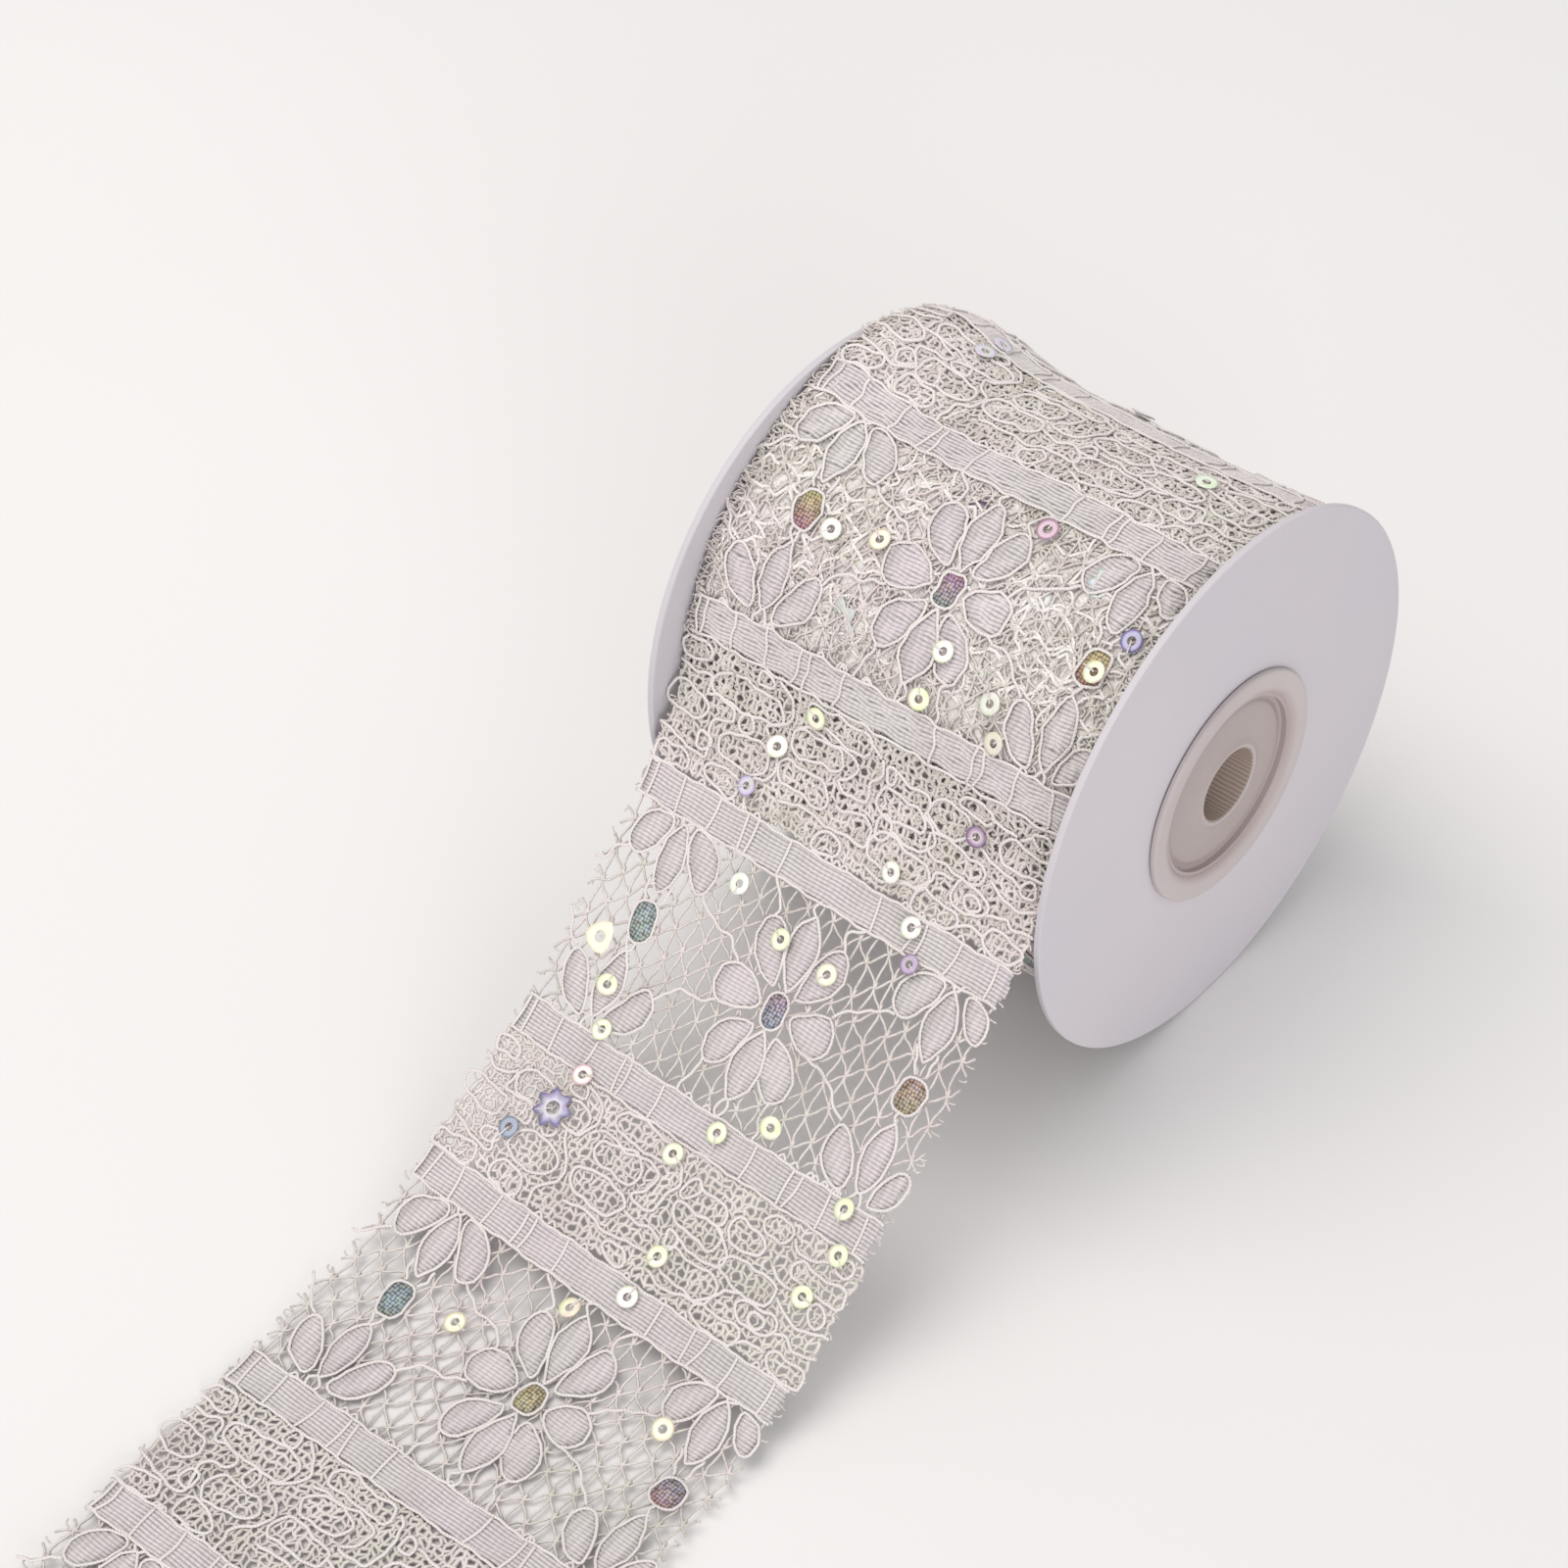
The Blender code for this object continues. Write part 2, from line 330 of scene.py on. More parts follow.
@dataclass(frozen=True)
class FilmNet(Finish):
    """Strip of the same film behind the ringed ovals, seen through a fine tulle."""

    def colour(self, tree: Tree) -> Socket:
        """Tinted dots of film between dark tulle threads, half a millimetre apart."""
        cells = add_node(tree, "ShaderNodeTexVoronoi",
                         {"Vector": map_place(tree, "lace"), "Scale": 2.1, "Randomness": 0.35}, feature="F1")
        dots = add_ramp(tree, cells.outputs["Distance"], [(0.3, "FFFFFF"), (0.62, "8C8585")])
        play = add_ramp(tree, cells.outputs["Color"], [(0.15, "FFF3E4"), (0.5, "F0F5FF"), (0.85, "F8FFEA")])
        return multiply(tree, multiply(tree, own_tint(tree), play), dots)


@dataclass(frozen=True)
class FlangeCard(Finish):
    """Clay-coated white card, die cut: smooth and matt, with a barely seen cloud of fibres."""

    def colour(self, tree: Tree) -> Socket:
        """Cool lilac grey, a touch pinker in broad patches."""
        return add_ramp(tree, cloud(tree, 28.0, 3.0), [(0.3, "C7C3C8"), (0.7, "CCC6CA")])

    def relief(self, tree: Tree) -> Optional[Socket]:
        """Fibres under the coating."""
        return bumped(tree, cloud(tree, 900.0, 3.0), 0.15, 0.00004)


@dataclass(frozen=True)
class CapPlastic(Finish):
    """Vacuum-formed polystyrene cap: satin, a little warmer than the card."""

    axis: tuple[float, float, float] = (0.0, 0.0, 0.0)
    full_ramp: float = 0.02

    def colour(self, tree: Tree) -> Socket:
        """Warm light grey with a soft cloud and painted shade over the dish floor and its groove, none on the
        collar or the bore's lip.
        """
        grey = add_ramp(tree, cloud(tree, 60.0, 2.0), [(0.3, "BFB6B6"), (0.7, "C4BCBC")])
        off = vector(tree, "SUBTRACT", object_place(tree), self.axis)
        flat = vector(tree, "MULTIPLY", off, (0.0, 1.0 / self.full_ramp, 1.0 / self.full_ramp))
        reach = add_node(tree, "ShaderNodeVectorMath", {0: flat}, operation="LENGTH").outputs["Value"]
        # painted shade: darkest across the recessed dish floor, easing through the groove; white, so
        # unshaded, on the bore's lip and the collar
        painted_dish_shade = add_ramp(tree, reach, [(0.262, "FFFFFF"), (0.288, "E6E1DD"), (0.54, "E1DBD7"),
                                       (0.585, "E4DDD9"), (0.612, "E6DFDB"), (0.65, "ECE5E1"),
                                       (0.70, "FBF9F8")])
        return multiply(tree, grey, painted_dish_shade)


@dataclass(frozen=True)
class CoreKraft(Finish):
    """Brown kraft board rolled to a tube: its flutes show as fine ribs along the bore."""

    def flutes(self, tree: Tree) -> Socket:
        """Ribs round the bore, read from the piece's own map, with a little unevenness."""
        waves = add_node(tree, "ShaderNodeTexWave", {"Vector": map_place(tree, "lace"), "Scale": 0.55,
                                                     "Distortion": 0.8, "Detail": 1.0}, bands_direction="Y")
        return waves.outputs["Fac"]

    def colour(self, tree: Tree) -> Socket:
        """Grey-brown paper with painted shade in each groove."""
        # painted shade: the darker stop falls in the grooves between the flutes
        return add_ramp(tree, self.flutes(tree), [(0.1, "A59489"), (0.8, "C0AFA4")])

    def relief(self, tree: Tree) -> Optional[Socket]:
        """Grooves a tenth of a millimetre deep."""
        return bumped(tree, self.flutes(tree), 0.6, 0.00008)


@dataclass(frozen=True)
class StudioPaper(Finish):
    """Pale paper sweep under the object."""

    def colour(self, tree: Tree) -> Socket:
        """Plain warm white with hardly any cloud."""
        return add_ramp(tree, cloud(tree, 6.0, 1.0), [(0.2, "E6E4E3"), (0.8, "E8E6E5")])


class Palette:
    """Every finish of the object, each made once."""

    def __init__(self, place: "SpoolPlace") -> None:
        """Make the materials.

        Args:
            place: the spool's axis, about which the caps' painted shade in the dish is laid.
        """
        soft = (("Sheen Weight", 0.35), ("Sheen Roughness", 0.5), ("Specular IOR Level", 0.3))
        self.net = ThreadYarn("knitted_net_polyester", 0.75, soft).build()
        # the slack loops take a darker copy of the net yarn: painted shade where they lie low between the
        # threads
        self.slack = ThreadYarn("slack_net_loops_painted_shade", 0.8, soft, light="DDD5D1", dark="C5BDB6").build()
        self.rib = RibYarn("laid_in_viscose_rows", 0.55, soft, light="DBD4D5", dark="CEC7C8").build()
        self.cord = CordYarn("plied_outline_cord", 0.6, soft).build()
        # the turn below takes lighter copies of the net and cord yarns: painted light that lifts the shade
        # between the layers
        self.under_net = ThreadYarn("net_of_inner_turns_painted_light", 0.85, soft, light="E8E2DE", dark="DBD4CE").build()
        self.under_cord = CordYarn("cord_of_inner_turns_painted_light", 0.75, soft, light="F0EBE7", dark="E3DCD7").build()
        self.wound = WoundLayers("wound_lace_layers", 0.9, (("Specular IOR Level", 0.15),)).build()
        self.sequin = SequinFoil("pearl_sequin_film", 0.3,
                                 (("Coat Weight", 0.5), ("Coat Roughness", 0.15))).build()
        self.film = FilmNet("film_under_tulle", 0.5, (("Specular IOR Level", 0.35),)).build()
        self.card = FlangeCard("coated_flange_card", 0.65, (("Specular IOR Level", 0.3),)).build()
        self.cap = CapPlastic("formed_cap_plastic", 0.45, (("Specular IOR Level", 0.4),), place.spot).build()
        self.kraft = CoreKraft("fluted_kraft_core", 0.9, (("Specular IOR Level", 0.2),)).build()
        self.paper = StudioPaper("studio_paper", 0.9, (("Specular IOR Level", 0.1),)).build()


# The course of the lace


@dataclass(frozen=True)
class SpoolPlace:
    """Where the spool's axis lies in the shared frame, in metres."""

    x: float
    y: float
    z: float

    @property
    def spot(self) -> tuple[float, float, float]:
        """The middle of the axis as x, y and z."""
        return (self.x, self.y, self.z)

    @classmethod
    def read(cls, flange_radius: float = 37.6 * MM) -> "SpoolPlace":
        """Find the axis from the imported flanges' boxes.

        Args:
            flange_radius: the flanges' radius, which gives the height of the axis.

        Returns:
            The middle between the flanges, on their common axis.
        """
        _, high_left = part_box("flange_left")
        low_right, high_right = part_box("flange_right")
        return cls((high_left[0] + low_right[0]) / 2, (low_right[1] + high_right[1]) / 2,
                   high_right[2] - flange_radius)


@dataclass
class LaceCourse:
    """The lace's way: round the roll, off its front, down in one curve and flat to the cut end.

    v is the distance along the trim in millimetres, growing towards the cut end, and turn is the
    number of degrees wound back from where the lace leaves the roll. Lengths are in millimetres and
    angles in degrees. The turn below goes down by step_drop over step_ease degrees before it is covered,
    and by layer_drop once it is.
    """

    place: SpoolPlace
    roll_radius: float = 33.7
    swell: float = 2.7
    sheet: float = 1.0
    take_off: float = 162.0
    flower_angle: float = 122.7
    swell_angle: float = 50.0
    overlap: float = 12.0
    step_drop: float = 0.7
    step_ease: float = 200.0
    layer_drop: float = 0.36
    lap_bump: float = 0.3
    bulge: float = 3.4
    puff: float = 0.9
    ripple: float = 0.25
    fall_arm: float = 17.7
    landing_arm: float = 18.0
    landing_y: float = -104.0
    end_y: float = -163.0
    heading: float = 0.071
    start_x: float = -0.2
    axis_height: float = 37.4
    edge_lift: float = 1.3
    turns: float = 2.0

    def __post_init__(self) -> None:
        """Tabulate the wound part and the loose part against v."""
        self.turn_steps = np.arange(0.0, 360.0 * self.turns + 30.0, 1.0)
        radius = self.outer_radius(self.take_off - self.turn_steps)
        arcs = np.radians(1.0) * (radius[1:] + radius[:-1]) / 2
        self.wound_v = -np.concatenate([[0.0], np.cumsum(arcs)])
        middle = self.roll_radius - self.sheet / 2
        turn = math.radians(self.take_off)
        start = middle * np.array([math.cos(turn), math.sin(turn)])
        tangent = np.array([-math.sin(turn), math.cos(turn)])
        landing = np.array([self.landing_y, self.sheet / 2 - self.axis_height])
        t = np.linspace(0.0, 1.0, 160)[:, None]
        fall = (start * (1 - t) ** 3 + (start + self.fall_arm * tangent) * 3 * (1 - t) ** 2 * t
                + (landing + np.array([self.landing_arm, 0.0])) * 3 * (1 - t) * t * t + landing * t ** 3)
        flat = np.stack([np.linspace(self.landing_y, self.end_y, 80)[1:], np.full(79, landing[1])], 1)
        self.line = np.vstack([fall, flat])
        steps = np.linalg.norm(np.diff(self.line, axis=0), axis=1)
        self.loose_v = np.concatenate([[0.0], np.cumsum(steps)])
        slope = np.gradient(self.line, axis=0)
        slope /= np.linalg.norm(slope, axis=1)[:, None]
        self.normal = np.stack([slope[:, 1], -slope[:, 0]], 1)
        # v counts from the middle of the flower that faces the camera, above the take-off
        self.leave_v = -float(np.interp(self.take_off - self.flower_angle, self.turn_steps, self.wound_v))
        self.end_v = self.leave_v + float(self.loose_v[-1])
        self.lap_v = float(-np.interp(360.0, self.turn_steps, self.wound_v))

    def outer_radius(self, angle: np.ndarray) -> np.ndarray:
        """Outside of the last turn at an angle in degrees."""
        share = np.minimum(np.abs(degrees_past(angle, self.swell_angle)) / 105.0, 1.0)
        return self.roll_radius + self.swell * (0.5 + 0.5 * np.cos(np.pi * share))

    def sink(self, turn: np.ndarray) -> np.ndarray:
        """How far the lace has gone down under its own later turns.

        Args:
            turn: degrees wound back from the take-off.

        Returns:
            The drop in millimetres: none on the overlap, growing over the turn, and one layer more below.
        """
        covered = 360.0 + self.overlap
        within = np.where(turn > covered, turn - 360.0, turn)
        to_go = covered - np.clip(within, self.overlap, covered)
        drop = self.step_drop * (1.0 - smooth(to_go / self.step_ease))
        drop = np.where(turn <= self.overlap, 0.0, drop)
        second = self.layer_drop + self.lap_bump * (1.0 - smooth((turn - covered) / 15.0))
        return drop + np.where(turn > covered, second, 0.0)

    def surface(self, angle: np.ndarray, x: np.ndarray) -> np.ndarray:
        """Puffed stretches and slight waves of the roll.

        The bulge stands 62 degrees round and 26 mm left of the middle. The puff follows the left edge
        for 52 degrees either side of 105. The ripple dies out where the lace leaves the roll.

        Args:
            angle: place round the roll in degrees.
            x: place across it in millimetres.

        Returns:
            How far the lace stands out there, in millimetres.
        """
        around = degrees_past(angle, 62.0) / 24.0
        bulge = self.bulge * np.exp(-0.5 * (around ** 2 + ((x + 26.0) / 6.0) ** 2))
        ripple = self.ripple * np.sin(np.radians(5.0 * angle)) * np.sin(x / 7.0)
        front = np.abs(degrees_past(angle, 105.0))
        puff = self.puff * smooth((-x - 21.0) / 7.0) * smooth((52.0 - front) / 25.0)
        calm = smooth(np.abs(degrees_past(angle, self.take_off)) / 30.0)
        return bulge + puff + ripple * calm

    def lay(self, flat: np.ndarray) -> np.ndarray:
        """Take points of the flat lace to their place.

        Args:
            flat: rows of u, v and height above the sheet's middle, in millimetres.

        Returns:
            Rows of x, y, z in metres in the shared frame.
        """
        u, v, h = flat[:, 0], flat[:, 1], flat[:, 2]
        off = v - self.leave_v
        turn = np.interp(-off, -self.wound_v, self.turn_steps)
        angle = self.take_off - turn
        radius = self.outer_radius(angle) - self.sheet / 2 - self.sink(turn) + self.surface(angle, u) + h
        wound = np.stack([self.start_x + u, radius * np.cos(np.radians(angle)),
                          radius * np.sin(np.radians(angle))], 1)
        y, z = (np.interp(off, self.loose_v, self.line[:, k]) for k in (0, 1))
        ny, nz = (np.interp(off, self.loose_v, self.normal[:, k]) for k in (0, 1))
        # past the roll the trim turns a little to one side and its edges lift in slow waves
        reach = np.maximum(-y - self.roll_radius, 0.0)
        skew = self.heading * smooth((reach - 20.0) / 90.0)
        share = u / 30.0
        lift = self.edge_lift * share ** 2 * smooth(reach / 30.0)
        lift = lift * (0.5 + 0.5 * np.sin(reach / 11.0 + np.where(share > 0, 0.0, 2.4)))
        over = self.start_x + self.heading * reach + u
        loose = np.stack([over, y + skew * u + h * ny, z + lift + h * nz], 1)
        laid = np.where((off <= 0.0)[:, None], wound, loose)
        return laid * MM + np.array(self.place.spot)


# Threads


@dataclass
class Thread:
    """One thread of the flat lace: its points, its section and whether it closes on itself."""

    points: np.ndarray
    height: float
    width: float
    depth: float
    sides: int = 3
    closed: bool = False
    start: float = 0.0

    def moved(self, change: Callable[[np.ndarray], np.ndarray]) -> "Thread":
        """The same thread with its points changed."""
        return Thread(change(self.points), self.height, self.width, self.depth, self.sides, self.closed,
                      self.start)

    def cut(self, low: float, high: float) -> list["Thread"]:
        """Keep what lies between two places along the trim.

        Args:
            low: the lowest v kept.
            high: the highest v kept.

        Returns:
            The pieces left, each ending exactly at the limit that cut it.
        """
        v = self.points[:, 1]
        inside = (v >= low) & (v <= high)
        if inside.all():
            return [self]
        if not inside.any():
            return []
        line = np.vstack([self.points, self.points[:1]]) if self.closed else self.points
        pieces, current = [], []
        for a, b in zip(line[:-1], line[1:]):
            if low <= a[1] <= high:
                current.append(a)
            for limit in sorted((low, high), reverse=bool(b[1] < a[1])):
                if (a[1] - limit) * (b[1] - limit) < 0.0:
                    current.append(a + (b - a) * (limit - a[1]) / (b[1] - a[1]))
                    if (b[1] > high) or (b[1] < low):
                        pieces.append(current)
                        current = []
        if low <= line[-1][1] <= high:
            current.append(line[-1])
        pieces.append(current)
        return [Thread(np.array(p), self.height, self.width, self.depth, self.sides)
                for p in pieces if len(p) > 1]


def thinned(points: np.ndarray, spacing: float) -> np.ndarray:
    """Keep points of a dense line at about an even spacing.

    Args:
        points: the dense line.
        spacing: the wanted distance between points kept.

    Returns:
        The line with fewer points, both ends kept.
    """
    length = float(np.linalg.norm(np.diff(points, axis=0), axis=1).sum())
    count = max(1, round(length / spacing))
    return points[np.unique(np.linspace(0, len(points) - 1, count + 1).round().astype(int))]


def runs(mask: np.ndarray, shortest: int) -> list[slice]:
    """Stretches of a line where a mask holds."""
    edges = np.flatnonzero(np.diff(np.concatenate([[0], mask.astype(np.int8), [0]])))
    return [slice(a, b) for a, b in zip(edges[::2], edges[1::2]) if b - a >= shortest]


def curve_through(points: Sequence[tuple[float, float]], steps: int) -> np.ndarray:
    """Smooth line through a few points.

    Args:
        points: the places that it passes.
        steps: how many pieces each stretch is cut in.

    Returns:
        The points of the smooth line.
    """
    p = np.array(points, float)
    q = np.vstack([2 * p[:1] - p[1:2], p, 2 * p[-1:] - p[-2:-1]])
    t = np.linspace(0.0, 1.0, steps, endpoint=False)[:, None]
    parts = []
    for a, b, c, d in zip(q[:-3], q[1:-2], q[2:-1], q[3:]):
        square, cube = 2 * a - 5 * b + 4 * c - d, 3 * b - a - 3 * c + d
        parts.append(0.5 * (2 * b + (c - a) * t + square * t ** 2 + cube * t ** 3))
    return np.vstack([*parts, p[-1:]])


class ThreadMesh:
    """Gathers threads as thin tubes and joins them in one mesh."""

    def __init__(self) -> None:
        """Start empty."""
        self.points: list[np.ndarray] = []
        self.corners: list[np.ndarray] = []
        self.sizes: list[np.ndarray] = []
        self.maps: list[np.ndarray] = []
        self.count = 0

    def add(self, thread: Thread) -> None:
        """Wrap one thread in a tube, in flat coordinates.

        Args:
            thread: the thread, its points as u, v.
        """
        line, n, sides = thread.points, len(thread.points), thread.sides
        if thread.closed:
            along = np.roll(line, -1, axis=0) - np.roll(line, 1, axis=0)
        else:
            along = np.gradient(line, axis=0) if n > 2 else np.repeat(line[1:] - line[:1], 2, axis=0)
        along = along / np.maximum(np.linalg.norm(along, axis=1), 1e-9)[:, None]
        turn = math.pi / 2 + 2 * math.pi * np.arange(sides) / sides
        across = np.stack([-along[:, 1], along[:, 0]], 1)
        flat = np.empty((n, sides, 3))
        aside = np.cos(turn) * thread.width / 2
        flat[:, :, :2] = line[:, None, :] + across[:, None, :] * aside[None, :, None]
        flat[:, :, 2] = thread.height + np.sin(turn) * thread.depth / 2
        rows = n if thread.closed else n - 1
        i = np.arange(rows)[:, None]
        k = np.arange(sides)[None, :]
        j, m = (i + 1) % n, (k + 1) % sides
        quads = np.stack([i * sides + k, i * sides + m, j * sides + m, j * sides + k], -1).reshape(-1, 4)
        steps = np.linalg.norm(np.diff(np.vstack([line, line[:1]]), axis=0), axis=1)
        reach = thread.start + np.concatenate([[0.0], np.cumsum(steps)])
        near, far = reach[i] + 0 * k, reach[i + 1] + 0 * k
        side, next_side = (k + 0 * i) / sides, (k + 1 + 0 * i) / sides
        corners_uv = np.stack([np.stack([near, side], -1), np.stack([near, next_side], -1),
                               np.stack([far, next_side], -1), np.stack([far, side], -1)], -2).reshape(-1, 2)
        self.points.append(flat.reshape(-1, 3))
        self.corners.append((quads + self.count).ravel())
        self.sizes.append(np.full(len(quads), 4))
        self.maps.append(corners_uv)
        if not thread.closed:
            first, last = np.arange(sides)[::-1], (n - 1) * sides + np.arange(sides)
            self.corners.append(np.concatenate([first, last]) + self.count)
            self.sizes.append(np.full(2, sides))
            self.maps.append(np.tile([[0.0, 0.5]], (2 * sides, 1)))
        self.count += n * sides

    def build(self, name: str, course: LaceCourse, material: bpy.types.Material) -> bpy.types.Object:
        """Lay all threads on their course and make the piece.

        Args:
            name: the piece's name.
            course: where the lace runs.
            material: its finish.

        Returns:
            The piece.
        """
        mesh = mesh_from_arrays(name, course.lay(np.vstack(self.points)), np.concatenate(self.corners),
                                np.concatenate(self.sizes), {"thread": np.vstack(self.maps)})
        return new_piece(name, mesh, material)


def mesh_from_arrays(name: str, points: np.ndarray, corners: np.ndarray, sizes: np.ndarray,
                     maps: dict[str, np.ndarray]) -> bpy.types.Mesh:
    """Make a mesh of many small faces.

    Args:
        name: the mesh's name.
        points: rows of x, y, z.
        corners: the points' numbers, face after face.
        sizes: how many corners each face has.
        maps: for each map's name, one row of two numbers a corner.

    Returns:
        The mesh, smooth shaded.
    """
    mesh = bpy.data.meshes.new(name)
    mesh.vertices.add(len(points))
    mesh.vertices.foreach_set("co", points.astype(np.float32).ravel())
    mesh.loops.add(len(corners))
    mesh.loops.foreach_set("vertex_index", corners.astype(np.int32))
    mesh.polygons.add(len(sizes))
    mesh.polygons.foreach_set("loop_start", (np.cumsum(sizes) - sizes).astype(np.int32))
    for label, rows in maps.items():
        layer = mesh.uv_layers.new(name=label)
        layer.data.foreach_set("uv", rows.astype(np.float32).ravel())
    mesh.update(calc_edges=True)
    mesh.validate()
    mesh.shade_smooth()
    return mesh


def new_piece(name: str, mesh: bpy.types.Mesh, material: bpy.types.Material) -> bpy.types.Object:
    """Link a mesh to the scene as a piece at the origin and let it ride on the spool."""
    piece = bpy.data.objects.new(name, mesh)
    bpy.context.scene.collection.objects.link(piece)
    mesh.materials.append(material)
    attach(piece, BODY)
    return piece


def finished_piece(bm: bmesh.types.BMesh, name: str, material: bpy.types.Material) -> bpy.types.Object:
    """Turn a mesh in the making into a smooth piece."""
    mesh = bpy.data.meshes.new(name)
    bm.to_mesh(mesh)
    bm.free()
    mesh.shade_smooth()
    return new_piece(name, mesh, material)


def spun(profile: Sequence[tuple[float, float, float]], axis: tuple[int, int, int], steps: int,
         weld: float) -> bmesh.types.BMesh:
    """Turn a closed profile once round an axis through the origin.

    Args:
        profile: its corners in order.
        axis: the direction of the axis.
        steps: how many steps make the full turn.
        weld: corners nearer than this become one.

    Returns:
        The closed skin.
    """
    bm = bmesh.new()
    verts = [bm.verts.new(corner) for corner in profile]
    edges = [bm.edges.new((a, b)) for a, b in zip(verts, verts[1:] + verts[:1])]
    bmesh.ops.spin(bm, geom=verts + edges, cent=(0, 0, 0), axis=axis, dvec=(0, 0, 0), angle=2 * math.pi,
                   steps=steps, use_merge=True, use_duplicate=False)
    bmesh.ops.remove_doubles(bm, verts=bm.verts, dist=weld)
    bmesh.ops.recalc_face_normals(bm, faces=bm.faces)
    return bm


def corner_turns(bm: bmesh.types.BMesh) -> Iterable[tuple[bmesh.types.BMLoop, float]]:
    """Each face corner with its turn about the x axis in degrees, kept together across the seam."""
    for face in bm.faces:
        turns = [math.degrees(math.atan2(loop.vert.co.z, loop.vert.co.y)) for loop in face.loops]
        for loop, turn in zip(face.loops, turns):
            yield loop, turn - 360.0 if turn - min(turns) > 180.0 else turn


# The lace's design


class Filling(Enum):
    """What fills a place of the lace."""

    NET = 0
    RIBBED = 1
    FILM = 2


def tilted(x: np.ndarray, y: np.ndarray, degrees: float) -> np.ndarray:
    """Points turned about the origin."""
    c, s = math.cos(math.radians(degrees)), math.sin(math.radians(degrees))
    return np.stack([x * c - y * s, x * s + y * c], 1)


@dataclass(frozen=True)
class Leaf:
    """A ribbed petal, bud or leaf between two points, outlined in cord."""

    base: tuple[float, float]
    tip: tuple[float, float]
    width: float
    fullness: float = 0.7
    lean: float = 0.0
    early: float = 1.0
    filling: Filling = Filling.RIBBED

    def outline(self, points: int) -> np.ndarray:
        """Closed outline, widest where early puts it, bent sideways by lean."""
        a, b = np.array(self.base), np.array(self.tip)
        axis = b - a
        side = np.array([-axis[1], axis[0]]) / np.linalg.norm(axis)
        turn = np.linspace(0.0, 2 * math.pi, points, endpoint=False)
        share = 0.5 - 0.5 * np.cos(turn)
        swell = np.abs(np.sin(math.pi * share ** self.early)) ** self.fullness
        half = np.sign(np.sin(turn)) * swell * self.width / 2
        bend = self.lean * np.sin(math.pi * share)
        return a + share[:, None] * axis + (half + bend)[:, None] * side


@dataclass(frozen=True)
class Oval:
    """A ring of cord, upright or lying, round or long."""

    middle: tuple[float, float]
    across: float
    along: float
    tilt: float = 0.0
    squareness: float = 1.0
    filling: Filling = Filling.NET

    def outline(self, points: int) -> np.ndarray:
        """Closed outline; squareness under one makes it fuller at its corners."""
        turn = np.linspace(0.0, 2 * math.pi, points, endpoint=False)
        c, s = np.cos(turn), np.sin(turn)
        x = np.sign(c) * np.abs(c) ** self.squareness * self.across / 2
        y = np.sign(s) * np.abs(s) ** self.squareness * self.along / 2
        return tilted(x, y, self.tilt) + self.middle


@dataclass(frozen=True)
class Loop:
    """A lying loop of cord with straight sides and round ends."""

    middle: tuple[float, float]
    across: float
    along: float
    tilt: float = 0.0

    def outline(self, points: int) -> np.ndarray:
        """Closed outline with its points evenly spaced."""
        radius, half = min(self.across, self.along) / 2, abs(self.across - self.along) / 2
        lap = 2 * math.pi * radius + 4 * half
        d = np.linspace(0.0, lap, points, endpoint=False)
        end = math.pi * radius
        side = 2 * half
        turn = np.where(d < end, d / radius, np.where(d < end + side, math.pi, np.where(
            d < 2 * end + side, (d - side) / radius, 2 * math.pi))) - math.pi / 2
        run = np.where(d < end, half, np.where(d < end + side, half - (d - end), np.where(
            d < 2 * end + side, -half, -half + (d - 2 * end - side))))
        x, y = run + radius * np.cos(turn), radius * np.sin(turn)
        if self.along > self.across:
            x, y = -y, x
        return tilted(x, y, self.tilt) + self.middle


@dataclass(frozen=True)
class Sequin:
    """A punched disc sewn on the lace."""

    u: float
    v: float
    tint: str = "FBFBE6"
    size: float = 2.8
    lobes: int = 0
    rim: Optional[str] = None
    heart: Optional[str] = None

    def tint_at(self, reach: float) -> tuple[float, float, float, float]:
        """Colour at a distance from the middle: its heart, body and rim."""
        share = reach / (self.size / 2)
        if self.rim and share > 0.85:
            return linear(self.rim)
        return linear(self.heart if self.heart and share < 0.5 else self.tint)


